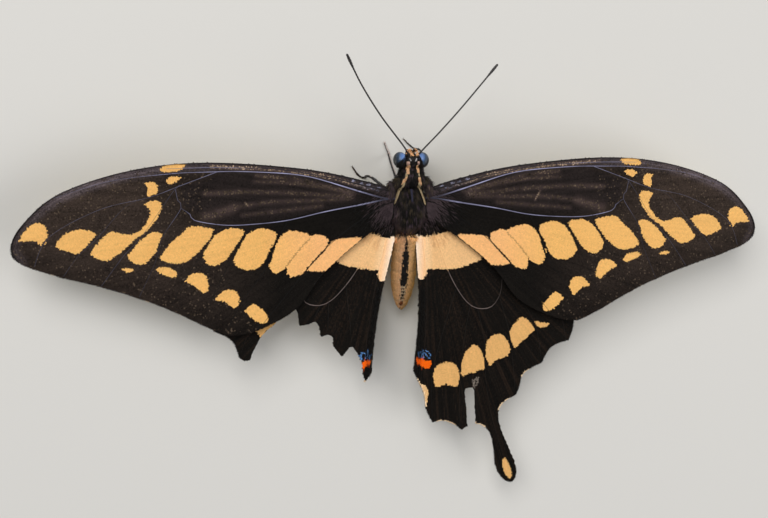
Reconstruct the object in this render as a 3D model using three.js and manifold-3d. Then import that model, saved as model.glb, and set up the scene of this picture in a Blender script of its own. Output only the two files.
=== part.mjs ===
// Giant swallowtail butterfly, life size, resting on its six feet with both pairs of wings spread flat.
// Millimetres. +X is the butterfly's right, +Y runs toward its head, +Z is up.
// Everything is laid out from the middle of the wing roots, with the wings' plane at height 0, and the
// whole model is then lifted so that its feet stand at height 0 and its box is centred over the origin.
// One hindwing is torn, so the left one is the same form as the right, cut along its own tear.
import * as THREE from 'three';
import { mergeVertices } from 'three/addons/utils/BufferGeometryUtils.js';
import Module from 'manifold-3d';

const wasm = await Module();
wasm.setup();

// ---------- driving dimensions ----------
const GAP = 0.3;              // clearance between pieces that touch
const FLOOR = -9.5;           // the surface that the feet stand on, below the wings' plane
const MEMBRANE = 0.5;         // thickness of a wing
const CAMBER = 1.2;           // rise of a wing's middle above its root and tip
const WING_REACH = 64;        // from the body's middle line to a forewing's tip
const HINDWING_DROP = 1.35;   // the hindwings lie this far below the forewings
const TAIL_SAG = 0.0015;      // how fast a hindwing sinks toward its tail, per square millimetre
const SAG_START = -10;        // behind this line a hindwing begins to sink
const VEIN_ROOT = 0.46;       // half height of a vein at the wing's root
const VEIN_TIP = 0.36;        // and at the wing's edge
const GRID = 8;               // cell of the wings' surface grid
const VEIN_STEP = 6;          // length of one straight stretch of a vein
const EDGE_STEP = 2.2;        // spacing of the points along a wing's edge
const TALL = 40;              // reach of the tools that cut wings and feet

// ---------- solids ----------
// A closed geometry as a manifold solid: positions only, shared corners, faces turned outward.
function solidOf(geometry) {
  const bare = geometry.index ? geometry.toNonIndexed() : geometry.clone();
  bare.deleteAttribute('normal');
  bare.deleteAttribute('uv');
  const merged = mergeVertices(bare, 1e-4);
  const corners = merged.index.array;
  const triVerts = [];
  for (let i = 0; i < corners.length; i += 3) {
    const [a, b, c] = corners.slice(i, i + 3);
    if (a !== b && b !== c && c !== a) triVerts.push(a, b, c);
  }
  const vertProperties = merged.attributes.position.array;
  const outward = signedVolume(vertProperties, triVerts) > 0;
  return new wasm.Manifold(new wasm.Mesh({
    numProp: 3,
    vertProperties,
    triVerts: new Uint32Array(outward ? triVerts : triVerts.reverse()),
  }));
}

function signedVolume(positions, triVerts) {
  const corner = (i) => new THREE.Vector3().fromArray(positions, 3 * triVerts[i]);
  let sum = 0;
  for (let i = 0; i < triVerts.length; i += 3) {
    sum += corner(i).dot(corner(i + 1).cross(corner(i + 2)));
  }
  return sum;
}

// The largest closed body of a solid, so that a loose scrap or a sealed hollow is dropped.
function largest(solid) {
  return solid.decompose().reduce((best, body) => (body.volume() > best.volume() ? body : best));
}

function meshOf(name, solid, material) {
  const made = largest(solid).getMesh();
  const geometry = new THREE.BufferGeometry();
  geometry.setAttribute('position', new THREE.BufferAttribute(made.vertProperties, 3));
  geometry.setIndex(new THREE.BufferAttribute(made.triVerts, 1));
  geometry.computeVertexNormals();
  const mesh = new THREE.Mesh(geometry, material);
  mesh.name = name;
  return mesh;
}

// Moves every vertex of a geometry by a function of its place.
function reshape(geometry, move) {
  const position = geometry.attributes.position;
  const point = new THREE.Vector3();
  for (let i = 0; i < position.count; i += 1) {
    point.fromBufferAttribute(position, i);
    move(point);
    position.setXYZ(i, point.x, point.y, point.z);
  }
  return geometry;
}

// A body segment: a lathed profile along Y, made oval, and carried on a middle line.
// profile(t) is the half width from 0 to 1, with t running from the rear to the front.
// square is 2 for an oval section, and more for one with fuller corners.
function pod({ rear, front, width, depth, middle, profile, square = 2, sides = 18, rings = 14 }, grow = 0) {
  const points = [];
  for (let i = 0; i <= rings; i += 1) {
    const t = (1 - Math.cos((Math.PI * i) / rings)) / 2;
    points.push(new THREE.Vector2(i % rings === 0 ? 0 : profile(t), t));
  }
  const length = front - rear + 2 * grow;
  return solidOf(reshape(new THREE.LatheGeometry(points, sides), (p) => {
    const y = rear - grow + length * p.y;
    const [x, z] = middle(y);
    const angle = Math.atan2(p.z, p.x);
    const full = (Math.abs(Math.cos(angle)) ** square + Math.abs(Math.sin(angle)) ** square) ** (-1 / square);
    p.set(x + p.x * full * (width / 2 + grow), y, z + p.z * full * (depth / 2 + grow));
  }));
}

// A tube along a curve, made from a cylinder whose rings are carried onto it.
// radius(t) is its half thickness. With upright set, one of its ridges always faces up.
function tube(curve, radius, { sides = 7, steps = 12, upright = false } = {}) {
  const frames = curve.computeFrenetFrames(steps);
  const up = new THREE.Vector3(0, 0, 1);
  return solidOf(reshape(new THREE.CylinderGeometry(1, 1, 1, sides, steps), (p) => {
    const step = Math.round((0.5 - p.y) * steps);
    const t = step / steps;
    const normal = upright ? up : frames.normals[step];
    const across = new THREE.Vector3().crossVectors(frames.tangents[step], normal).normalize();
    const along = new THREE.Vector3().copy(normal).multiplyScalar(p.z * radius(t));
    across.multiplyScalar(p.x * radius(t));
    p.copy(curve.getPointAt(t)).add(along).add(across);
  }));
}

const taper = (from, to) => (t) => from + (to - from) * t;
const line = (points) => new THREE.CatmullRomCurve3(points.map((p) => new THREE.Vector3(...p)), false,
  'centripetal');

// ---------- body segments ----------
const round = (power) => (t) => Math.sin(Math.PI * Math.min(Math.max(t, 0.002), 0.998)) ** power;

const THORAX = {
  rear: -7.2,
  front: 3.0,
  width: 6.8,
  depth: 6.6,
  middle: () => [0, -1.9],
  profile: round(0.55),
  square: 2.5,
  sides: 20,
};
// The shoulder cover over each forewing's root.
const SHOULDER = { radius: [0.85, 1.9, 0.85], place: [3.25, 1.0, -0.05] };

const PROTHORAX = {
  rear: 1.2, front: 5.6, width: 4.9, depth: 3.8, middle: () => [0.35, -0.7], profile: round(0.5),
};
// The collar plate that fills the corner between neck and shoulder.
const COLLAR = { radius: [1.3, 1.2, 1.1], place: [2.0, 2.3, -0.3] };

const HEAD = {
  rear: 4.6, front: 7.4, width: 3.6, depth: 3.2, middle: () => [0.3, 0.1], profile: round(0.45),
};

const ABDOMEN_SEGMENTS = 8;
const SEGMENT_GROOVE = 0.06;
const ABDOMEN_WIDEST = 0.5;    // how far along from its tip the abdomen reaches its full width
const ABDOMEN = {
  rear: -20.5,
  front: -5.8,
  width: 4.25,
  depth: 4.2,
  sides: 18,
  rings: 3 * ABDOMEN_SEGMENTS,
  middle: (y) => [0, -2.7 + 0.24 * Math.min(0, y + 7.2)],
  profile: (t) => {
    const swell = Math.sin((Math.PI / 2) * Math.min(1, t / ABDOMEN_WIDEST)) ** 0.6;
    const groove = 1 - SEGMENT_GROOVE * Math.cos(Math.PI * ABDOMEN_SEGMENTS * t) ** 8;
    return swell * groove * Math.min(1, 3 * Math.sqrt(1 - t));
  },
};

function ball({ radius, place }, side, middle = 0, grow = 0) {
  const geometry = new THREE.SphereGeometry(1, 16, 12);
  geometry.scale(...radius.map((r) => r + grow));
  geometry.translate(middle + side * place[0], place[1], place[2]);
  return solidOf(geometry);
}

function thoraxSolid(grow = 0) {
  return pod(THORAX, grow).add(ball(SHOULDER, -1, 0, grow)).add(ball(SHOULDER, 1, 0, grow));
}

function prothoraxSolid(grow = 0) {
  const middle = PROTHORAX.middle()[0];
  return pod(PROTHORAX, grow).add(ball(COLLAR, -1, middle, grow)).add(ball(COLLAR, 1, middle, grow));
}

const EYE = { radius: [1.1, 1.3, 1.35], place: [1.9, 6.05, 0.35] };
const EYE_SHIFT = 0.1;        // the head is turned a little, so eyes, palps and face aren't quite in line
const PALP_SHIFT = 0.5;
const HEAD_SHIFT = HEAD.middle()[0];

// Each palp stands up against the front of the head and ends in a blunt tip.
function palp(side) {
  const x = PALP_SHIFT + side * 0.47;
  const curve = line([[x, 6.4, -1.2], [x, 7.3, -1.0], [x, 7.75, -0.2], [x, 7.7, 0.7]]);
  return tube(curve, (t) => 0.34 - 0.08 * t * t, { sides: 8, steps: 8 });
}

// The proboscis is a flat coil like a watch spring, held under the head.
const COIL = { centre: [HEAD_SHIFT, 6.5, -3.05], outer: 1.15, inner: 0.35, turns: 1.45, radius: 0.2 };

function proboscis() {
  const points = [[HEAD_SHIFT, 6.0, -1.0]];
  const steps = 22;
  for (let i = 0; i <= steps; i += 1) {
    const t = i / steps;
    const angle = Math.PI * (0.85 - 2 * COIL.turns * t);
    const reach = COIL.outer + (COIL.inner - COIL.outer) * t;
    points.push([
      COIL.centre[0],
      COIL.centre[1] + reach * Math.cos(angle),
      COIL.centre[2] + reach * Math.sin(angle),
    ]);
  }
  return tube(line(points), () => COIL.radius, { sides: 6, steps: 34 });
}

const ANTENNA_ROUTES = {
  left: [[-0.4, 6.6, 0.5], [-1.3, 8.2, 1.6], [-5.4, 13.4, 2.3], [-8.8, 18.6, 2.8], [-11.2, 23.4, 3.0]],
  right: [[1.0, 6.6, 0.5], [2.3, 8.3, 1.5], [4.6, 10.8, 2.1], [8.4, 15.1, 2.7], [14.0, 21.7, 3.1]],
};
const ANTENNA = { shaft: 0.25, club: 0.36, clubLength: 0.14 };

function antenna(route) {
  const radius = (t) => {
    const near = Math.max(0, 1 - (1 - t) / ANTENNA.clubLength);
    const swell = Math.sin(Math.PI * Math.min(1, 0.78 * near));
    return ANTENNA.shaft + (ANTENNA.club - ANTENNA.shaft) * swell - 0.12 * near ** 6;
  };
  return tube(line(route), radius, { sides: 6, steps: 26 });
}

// ---------- legs ----------
// Each leg is a thigh out of the thorax, a shin down to the surface, and a foot laid flat along it.
const FOOT_RADIUS = 0.3;
const FOOT_LINE = FLOOR + 0.2;
const LEGS = {
  foreleg_left: [[-1.0, 1.4, -3.2], [-1.3, 2.9, -4.6], [-1.5, 5.2, -7.4], [-1.4, 6.3, FOOT_LINE],
    [-1.75, 7.2, FOOT_LINE], [-2.1, 8.1, FOOT_LINE]],
  foreleg_right: [[1.2, 1.6, -3.4], [3.2, 3.4, -4.8], [4.4, 5.2, -7.6], [4.2, 6.8, FOOT_LINE],
    [2.9, 7.25, FOOT_LINE], [1.3, 8.7, FOOT_LINE]],
  midleg_left: [[-1.6, -0.6, -3.6], [-3.6, 1.2, -4.6], [-5.2, 2.6, -5.6], [-5.7, 2.7, -7.4],
    [-5.8, 2.2, FOOT_LINE], [-6.8, 2.7, FOOT_LINE], [-7.8, 4.1, FOOT_LINE]],
  midleg_right: [[1.6, -0.6, -3.6], [4.4, -0.4, -5.3], [6.2, -0.6, -7.8], [7.0, -0.8, FOOT_LINE],
    [8.3, -0.6, FOOT_LINE], [10.4, 0.2, FOOT_LINE]],
  hindleg_left: [[-1.6, -3.6, -3.6], [-4.0, -6.2, -5.0], [-5.6, -8.9, -7.6], [-6.4, -10.4, FOOT_LINE],
    [-7.2, -12.8, FOOT_LINE], [-7.8, -16.6, FOOT_LINE]],
  hindleg_right: [[1.6, -3.6, -3.6], [4.0, -6.2, -5.0], [5.6, -8.9, -7.6], [6.4, -10.4, FOOT_LINE],
    [7.2, -12.8, FOOT_LINE], [7.8, -16.6, FOOT_LINE]],
};

function leg(route) {
  const limb = tube(line(route), (t) => Math.max(FOOT_RADIUS, 0.48 - 0.34 * t), { steps: 22 });
  const ground = new THREE.BoxGeometry(TALL, TALL, TALL);
  ground.translate(0, 0, FLOOR - TALL / 2);
  return limb.subtract(solidOf(ground));
}

// ---------- wings ----------
// Outlines and veins are those of the right wings. A wing's edge is a few smooth runs that meet at corners.
const FOREWING = {
  edge: [
    // front edge, from the shoulder out, round the tip and in along the outer edge to the hind corner
    [[2.4, 1.0], [8, 2.8], [18.5, 5.0], [34, 6.2], [46, 5.0], [56.6, 1.5], [62.2, -3.2], [64.1, -6.8],
      [63.0, -9.2], [57.6, -11.4], [50, -13.6], [41.5, -16.8], [33.5, -20.9], [30.2, -22.3]],
    // inner edge, back to the root
    [[30.2, -22.3], [26, -21.6], [19.3, -18.2], [14.6, -12.4], [8.2, -7.0], [2.4, -3.6]],
  ],
  veins: [
    [[2, 0.6], [8, 2.0], [14, 3.5], [22.7, 5.0], [28, 5.25], [33.2, 5.4], [40, 5.3]],     // front margin
    [[2, -0.4], [4.5, -0.2], [8.9, 1.1], [14, 2.75], [17, 3.6], [19.8, 4.1], [23, 4.4], [28.5, 4.7],
      [33.2, 4.7], [39.4, 4.5], [49, 3.4], [57.8, 0.7]],
    [[32, 4.7], [37.8, 2.6], [42.8, 0.8], [50.4, -1.0], [58.2, -5.2], [60.8, -10.3]],
    [[42.8, 0.8], [46.4, -0.6], [50.8, -5.4], [54, -8.4], [56.6, -12]],
    [[37.8, 2.6], [38.8, 1.9], [43.9, -5.2], [46.9, -8.4], [50.8, -13.6]],
    [[38.6, 2.0], [38.3, 0.3], [37.8, -1.0], [40.8, -5.6], [42, -9.5], [44.9, -15.6]],
    [[2, -0.3], [4.7, -0.5], [8.3, -1.15], [14.5, -2.15], [20.8, -3.4], [27, -3.9], [31.3, -3.85],
      [35.7, -3.0], [36.4, -2.0], [37.8, -1.0]],
    [[32.2, -3.7], [32.8, -5.4], [34.9, -8.8], [38.2, -13.8], [40, -17.8]],
    [[26.8, -3.9], [29, -7.6], [30.4, -10.4], [32.8, -15], [35, -20.2]],
    [[20.6, -3.4], [22.6, -6.8], [24.2, -10.9], [28.2, -16.4], [31.2, -21.8]],
    [[2, -0.8], [4.3, -1.2], [7.2, -3.0], [10.1, -4.8], [13.5, -7.4], [17.3, -11.3], [22.6, -17.6],
      [25.4, -21]],
  ],
};

const HINDWING = {
  edge: [
    // front edge, which lies under the forewing
    [[1.5, -1.0], [9, -2.6], [18, -7], [25, -13], [29.4, -19], [30, -23.5], [29.2, -26.4]],
    // scalloped outer edge, from vein end to vein end
    [[29.2, -26.4], [27.2, -27.0], [25.8, -27.8], [25.1, -28.8], [24.3, -30.4]],
    [[24.3, -30.4], [22.2, -31.4], [20.9, -32.5], [20.4, -34.6], [19.8, -36.1]],
    // tail
    [[19.8, -36.1], [17.9, -37.2], [16.9, -38.6], [17.0, -41.0], [18.4, -44.6], [20.2, -48.6], [20.8, -51.2],
      [20.0, -52.9], [18.2, -52.0], [16.7, -49.4], [16.1, -45.6], [15.2, -42.7], [13.2, -41.2],
      [11.4, -41.4], [10.2, -42.1]],
    [[10.2, -42.1], [8.8, -41.0], [6.7, -40.2], [4.9, -40.4]],
    [[4.9, -40.4], [3.7, -38.0], [3.1, -34.8], [2.1, -32.6], [1.2, -30.6]],
    // inner edge, along the abdomen
    [[1.2, -30.6], [1.5, -27.8], [1.9, -22.0], [1.9, -16.5], [1.5, -11], [1.3, -7]],
  ],
  veins: [
    [[2.2, -2.4], [9, -4.4], [17, -9], [24, -16], [27.4, -21.8], [28.6, -26.4]],
    [[9, -4.4], [12.6, -9.4], [17.6, -15.6], [22.4, -22.4], [24.2, -29.6]],
    [[16, -17.6], [18.0, -24], [19.0, -30], [19.6, -35.4]],
    [[12.3, -19.9], [13.7, -26], [14.2, -33], [15.7, -40.4], [19.0, -50.4]],
    [[11, -18.9], [10.0, -26], [9.5, -33], [9.8, -41.3]],
    [[8.6, -15.8], [6.2, -24], [4.5, -32], [4.8, -39.4]],
    [[2.4, -4.6], [4.8, -7.2], [5.9, -10.1], [7.1, -13.3], [8.6, -16.2], [10.4, -18.7], [12.3, -19.9],
      [14.8, -19.7], [16.3, -17.4], [16.6, -14.4]],
    [[2.6, -7.6], [3.3, -15], [3.2, -24], [2.5, -32.6]],
  ],
};

// Each wing is turned a little forward from the drawn place, about its root.
const WING_ROOT = [3, -2];
const FORWARD_TURN = { forewing_left: 0.4, forewing_right: -0.6, hindwing_left: 10, hindwing_right: 0 };

// The torn edge of the left hindwing, and the narrow split in the right one, as they lie in place.
const LEFT_TEAR = [
  [-28.6, -26.9], [-27.0, -26.9], [-26.6, -25.6], [-25.2, -23.0], [-24.3, -21.9], [-22.6, -20.7],
  [-22.0, -17.4], [-19.8, -17.4], [-19.1, -19.2], [-18.8, -21.5], [-17.2, -21.2], [-16.1, -20.8],
  [-15.4, -21.8], [-15.2, -23.6], [-13.9, -23.2], [-13.0, -23.8], [-13.1, -25.2], [-11.5, -27.4],
  [-9.8, -25.4], [-8.8, -26.9], [-8.0, -28.5], [-7.8, -30.8], [-7.2, -32.4], [-7.2, -60], [-35, -60],
];
const RIGHT_SPLIT = [
  [12.9, -43.5], [12.6, -40.4], [12.3, -37.4], [12.1, -34.3], [10.5, -34.5], [10.8, -37.3], [11.1, -39.8],
  [11.3, -41.6], [10.9, -43.5],
];

const forewingSurface = (x) => CAMBER * Math.sin(Math.PI * Math.min(1, Math.abs(x) / WING_REACH));
const hindwingSurface = (x, y) => forewingSurface(x) - HINDWING_DROP
  - TAIL_SAG * Math.max(0, SAG_START - y) ** 2;

// A curved sheet of even thickness over a box of the plan, split into triangles alike on both faces.
function sheet(surface, box) {
  const size = box.getSize(new THREE.Vector2());
  const centre = box.getCenter(new THREE.Vector2());
  const columns = Math.ceil(size.x / GRID);
  const rows = Math.ceil(size.y / GRID);
  const plane = new THREE.PlaneGeometry(size.x, size.y, columns, rows);
  plane.translate(centre.x, centre.y, 0);
  const spots = plane.attributes.position;
  const face = (half) => Array.from({ length: spots.count }, (_, i) => [
    spots.getX(i), spots.getY(i), surface(spots.getX(i), spots.getY(i)) + half,
  ]).flat();
  const under = spots.count;
  const index = Array.from(plane.index.array);
  for (let i = plane.index.count - 1; i >= 0; i -= 1) index.push(plane.index.array[i] + under);
  const at = (row, column) => row * (columns + 1) + column;
  const rim = [];
  for (let c = 0; c < columns; c += 1) rim.push(at(rows, c));
  for (let r = rows; r > 0; r -= 1) rim.push(at(r, columns));
  for (let c = columns; c > 0; c -= 1) rim.push(at(0, c));
  for (let r = 0; r < rows; r += 1) rim.push(at(r, 0));
  rim.forEach((a, i) => {
    const b = rim[(i + 1) % rim.length];
    index.push(b, a, a + under, b, a + under, b + under);
  });
  const geometry = new THREE.BufferGeometry();
  const positions = [...face(MEMBRANE / 2), ...face(-MEMBRANE / 2)];
  geometry.setAttribute('position', new THREE.Float32BufferAttribute(positions, 3));
  geometry.setIndex(index);
  return solidOf(geometry);
}

// An upright prism of an outline, tall enough to cut a wing.
function prism(points) {
  const geometry = new THREE.ExtrudeGeometry(new THREE.Shape(points), { depth: TALL, bevelEnabled: false });
  geometry.translate(0, 0, -TALL / 2);
  return solidOf(geometry);
}

// A vein's line on the wing's surface.
class VeinLine extends THREE.Curve {
  constructor(plan, surface) {
    super();
    this.plan = plan;
    this.surface = surface;
  }

  getPoint(t) {
    const { x, y } = this.plan.getPoint(t);
    return new THREE.Vector3(x, y, this.surface(x, y));
  }
}

function wing(name, { form, surface, side, torn = null }) {
  const root = new THREE.Vector2(...WING_ROOT);
  const turn = THREE.MathUtils.degToRad(FORWARD_TURN[name]);
  const place = ([x, y]) => {
    const point = new THREE.Vector2(x, y).rotateAround(root, turn);
    return new THREE.Vector2(side * point.x, point.y);
  };
  const edge = form.edge.flatMap((run) => {
    const curve = new THREE.SplineCurve(run.map(place));
    const steps = Math.max(2, Math.round(curve.getLength() / EDGE_STEP));
    return curve.getSpacedPoints(steps).slice(0, -1);
  });
  const outline = prism(edge);
  const box = new THREE.Box2().setFromPoints(edge).expandByScalar(1);
  let solid = sheet(surface, box).intersect(outline);
  for (const vein of form.veins) {
    const curve = new VeinLine(new THREE.SplineCurve(vein.map(place)), surface);
    const steps = Math.max(3, Math.round(curve.getLength() / VEIN_STEP));
    const ridge = tube(curve, taper(VEIN_ROOT, VEIN_TIP), { sides: 4, steps, upright: true });
    solid = solid.add(ridge.intersect(outline));
  }
  if (torn) solid = solid.subtract(prism(torn.map((p) => new THREE.Vector2(...p))));
  return solid;
}

// ---------- materials ----------
const material = (color, roughness) => new THREE.MeshStandardMaterial({ color, roughness, metalness: 0 });
const WING_SCALES = material('#211a16', 0.85);
const HAIR = material('#1c1713', 0.95);
const ABDOMEN_SCALES = material('#c39458', 0.8);
const EYE_SHELL = material('#3a4450', 0.25);
const PALP_HAIR = material('#d9a972', 0.9);
const HORNY = material('#1a1512', 0.5);

// ---------- the butterfly ----------
const thorax = thoraxSolid();
const head = pod(HEAD);
const grownThorax = thoraxSolid(GAP);
const grownHead = pod(HEAD, GAP);
const grownProthorax = prothoraxSolid(GAP);
const grownAbdomen = pod(ABDOMEN, GAP);
const prothorax = prothoraxSolid().subtract(grownThorax).subtract(grownHead);
const abdomen = pod(ABDOMEN).subtract(grownThorax);

const butterfly = new THREE.Group();
const add = (name, solid, finish) => butterfly.add(meshOf(name, solid, finish));

add('head', head, HAIR);
add('prothorax', prothorax, HAIR);
add('thorax', thorax, HAIR);
add('abdomen', abdomen, ABDOMEN_SCALES);
add('proboscis', proboscis().subtract(grownHead), HORNY);

const offBody = (solid) => solid.subtract(grownThorax).subtract(grownProthorax).subtract(grownAbdomen);

for (const [name, side] of [['left', -1], ['right', 1]]) {
  add(`eye_${name}`, ball(EYE, side, EYE_SHIFT).subtract(grownHead), EYE_SHELL);
  add(`palp_${name}`, palp(side).subtract(grownHead), PALP_HAIR);
  add(`antenna_${name}`, antenna(ANTENNA_ROUTES[name]).subtract(grownHead), HORNY);
  const forewing = `forewing_${name}`;
  add(forewing, offBody(wing(forewing, { form: FOREWING, surface: forewingSurface, side })), WING_SCALES);
  const hindwing = `hindwing_${name}`;
  const torn = side < 0 ? LEFT_TEAR : RIGHT_SPLIT;
  add(hindwing, offBody(wing(hindwing, { form: HINDWING, surface: hindwingSurface, side, torn })), WING_SCALES);
}

for (const [name, route] of Object.entries(LEGS)) add(name, offBody(leg(route)), HORNY);

// The feet stand at height 0, and the model's box is centred over the origin.
const box = new THREE.Box3().setFromObject(butterfly);
const centre = box.getCenter(new THREE.Vector3());
butterfly.position.set(-centre.x, -centre.y, -FLOOR);

export default butterfly;
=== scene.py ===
# %% [markdown]
# # A giant swallowtail butterfly, life size
# The butterfly rests on its six feet with both pairs of wings spread flat. Its solids come from the packed
# model, and this script dresses them: a thin membrane with veins for each wing, tens of thousands of small
# scales laid like shingles, a furry body, faceted eyes, ringed feelers and jointed legs.
# All sizes below are real millimetres, drawn from the middle between the wing roots, with +X to the
# butterfly's right, +Y toward its head and +Z up. One function turns them into the metres that Blender uses.

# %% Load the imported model
import math

import bpy
import numpy as np
from mathutils import Matrix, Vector
from mathutils.kdtree import KDTree


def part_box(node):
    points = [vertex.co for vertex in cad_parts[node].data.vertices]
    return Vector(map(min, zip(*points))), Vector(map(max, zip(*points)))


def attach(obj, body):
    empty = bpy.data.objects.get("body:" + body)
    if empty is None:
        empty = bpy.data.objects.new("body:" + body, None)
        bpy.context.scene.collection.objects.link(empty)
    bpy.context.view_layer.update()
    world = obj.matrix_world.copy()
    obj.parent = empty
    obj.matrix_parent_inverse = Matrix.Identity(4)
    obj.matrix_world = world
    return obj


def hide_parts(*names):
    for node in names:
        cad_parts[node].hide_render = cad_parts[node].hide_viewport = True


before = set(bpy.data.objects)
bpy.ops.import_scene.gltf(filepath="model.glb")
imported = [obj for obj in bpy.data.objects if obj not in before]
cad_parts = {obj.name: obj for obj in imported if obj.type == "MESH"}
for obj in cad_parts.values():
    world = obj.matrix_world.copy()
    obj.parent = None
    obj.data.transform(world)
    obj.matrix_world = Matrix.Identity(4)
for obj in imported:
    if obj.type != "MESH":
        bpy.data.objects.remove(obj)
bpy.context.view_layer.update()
bpy.ops.object.select_all(action="DESELECT")
RNG = np.random.default_rng(11)
print("loaded", len(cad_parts), "solids")

# %% [markdown]
# ## From drawn millimetres to the model's frame
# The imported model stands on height 0 and is centred over the origin. The thorax tells how far the drawing was
# moved for that: its sides lie evenly about the middle line, and its front end was drawn at a known place.

# %% Place the drawing in the frame
MM = 0.001
FLOOR = -9.5
THORAX_FRONT = 3.0

thorax_low, thorax_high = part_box("thorax")
SHIFT = np.array([(thorax_low.x + thorax_high.x) / 2 / MM, thorax_high.y / MM - THORAX_FRONT, -FLOOR])


def to_frame(points):
    return (np.asarray(points, float) + SHIFT) * MM


def above_floor(points):
    return np.maximum(points, [-np.inf, -np.inf, FLOOR])


print("the drawing is moved by", SHIFT.round(3), "mm")

# %% [markdown]
# ## Small tools of the bench
# A colour is written as the hex code a painter's chart would give and turned linear once. A node is added by
# one function, with its settings and links. Meshes made of many copies are built from arrays, each point
# keeping its paint, and each copy its own small patch on the map that colours are baked to.


# %% Colours, nodes and meshes
def linear(code):
    values = np.array([int(code[i:i + 2], 16) for i in (1, 3, 5)]) / 255
    return np.where(values <= 0.04045, values / 12.92, ((values + 0.055) / 1.055) ** 2.4)


def add_node(tree, kind, links=(), **settings):
    """Adds a node, sets its sockets and properties, and links (socket, other node, its socket) into it."""
    node = tree.nodes.new(kind)
    for key, value in settings.items():
        name = key.replace("_", " ")
        if name in node.inputs:
            node.inputs[name].default_value = value
        else:
            setattr(node, key, value)
    for socket, other, output in links:
        tree.links.new(other.outputs[output], node.inputs[socket])
    return node


def new_material(name):
    material = bpy.data.materials.new(name)
    material.use_nodes = True
    return material, material.node_tree.nodes["Principled BSDF"]


def painted_material(name, roughness, specular=0.5, wrinkle=None, height=0.0):
    """A material that shows each point's own paint, with wrinkles of a real size in millimetres as bump."""
    material, shader = new_material(name)
    tree = material.node_tree
    paint = add_node(tree, "ShaderNodeAttribute", attribute_name="Paint")
    tree.links.new(paint.outputs["Color"], shader.inputs["Base Color"])
    shader.inputs["Roughness"].default_value = roughness
    shader.inputs["Specular IOR Level"].default_value = specular
    if wrinkle:
        place = add_node(tree, "ShaderNodeTexCoord")
        noise = add_node(tree, "ShaderNodeTexNoise", [("Vector", place, "Object")],
                         Scale=1 / (wrinkle * MM), Detail=3.0)
        bump = add_node(tree, "ShaderNodeBump", [("Height", noise, "Fac")],
                        Strength=0.7, Distance=height * MM)
        tree.links.new(bump.outputs["Normal"], shader.inputs["Normal"])
    return material


def new_object(name, data):
    obj = bpy.data.objects.new(name, data)
    bpy.context.collection.objects.link(obj)
    return obj


def mesh_object(name, points, faces, paint, patches):
    """A mesh object from points in drawn millimetres, with a paint per point and a map place per point.
    No point is left below the level that the butterfly stands on."""
    mesh = bpy.data.meshes.new(name)
    mesh.from_pydata(to_frame(above_floor(points)).tolist(), [], faces.tolist())
    obj = new_object(name, mesh)
    set_paint(obj, paint)
    layer = mesh.uv_layers.new(name="OFBake")
    layer.data.foreach_set("uv", patches[faces.ravel()].astype(np.float32).ravel())
    return obj


def set_paint(obj, paint):
    rgba = np.ones((len(obj.data.vertices), 4), np.float32)
    rgba[:, :3] = paint
    layer = obj.data.color_attributes.new("Paint", "FLOAT_COLOR", "POINT")
    layer.data.foreach_set("color", rgba.ravel())


def vertices(obj):
    return np.array([v.co[:] for v in obj.data.vertices])


def places(obj):
    """An object's vertices in drawn millimetres."""
    return vertices(obj) / MM - SHIFT


def put(obj, points):
    """Moves an object's vertices to places in drawn millimetres."""
    obj.data.vertices.foreach_set("co", to_frame(points).astype(np.float32).ravel())
    obj.data.update()


def mode(name):
    bpy.ops.object.mode_set(mode=name)


def apply_modifier(obj, kind, **settings):
    modifier = obj.modifiers.new(kind.title(), kind)
    for name, value in settings.items():
        setattr(modifier, name, value)
    bpy.ops.object.modifier_apply(modifier=modifier.name)


def finish_piece(obj, material, slot, nodes=(), smooth=True):
    obj.data.materials.clear()
    obj.data.materials.append(material)
    obj.data.polygons.foreach_set("use_smooth", np.full(len(obj.data.polygons), smooth))
    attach(obj, "root")
    if nodes:
        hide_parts(*nodes)
    triangles = sum(len(p.vertices) - 2 for p in obj.data.polygons)
    print(f"{obj.name}: {triangles} triangles")


# %% [markdown]
# ## Smooth lines and distances
# Edges, veins and limbs are drawn as a few points with a smooth run through them. What the wings look like at
# a point depends on how far it is from such lines: outside an edge there is no wing, and inside a spot's
# outline the scales are yellow.


# %% Lines and distances
def unit(vectors, shortest=1e-6):
    """The vectors brought to length 1, but for those shorter than the shortest."""
    return vectors / np.maximum(np.linalg.norm(vectors, axis=-1, keepdims=True), shortest)


def columns(*parts):
    return np.column_stack(np.broadcast_arrays(*parts))


def ramp(values, start, end):
    """0 before the start, 1 past the end, and even between."""
    return np.clip((values - start) / (end - start), 0, 1)


def travelled(line):
    """How far along a line each of its points is."""
    return np.append(0, np.cumsum(np.linalg.norm(np.diff(line, axis=0), axis=1)))


def on_line(at, marks, line):
    """The places at given marks along a line."""
    return np.column_stack([np.interp(at, marks, axis) for axis in line.T])


def smooth_run(points, step):
    """A smooth line through the points, sampled about every step millimetres."""
    p = np.array(points, float)
    p = np.vstack([p[:1], p, p[-1:]])
    made = []
    for a, b, c, d in zip(p, p[1:], p[2:], p[3:]):
        count = max(2, int(np.linalg.norm(c - b) / step))
        t = np.linspace(0, 1, count, endpoint=False)[:, None]
        made.append(b + 0.5 * t * (c - a + t * (2 * a - 5 * b + 4 * c - d + t * (3 * b - a - 3 * c + d))))
    return np.vstack(made + [p[-1:]])


def distance(points, line):
    line = np.asarray(line)
    nearest = np.full(len(points), np.inf)
    for a, b in zip(line[:-1], line[1:]):
        along = b - a
        t = np.clip((points - a) @ along / max(along @ along, 1e-9), 0, 1)
        nearest = np.minimum(nearest, np.hypot(*(points - a - t[:, None] * along).T))
    return nearest


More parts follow.
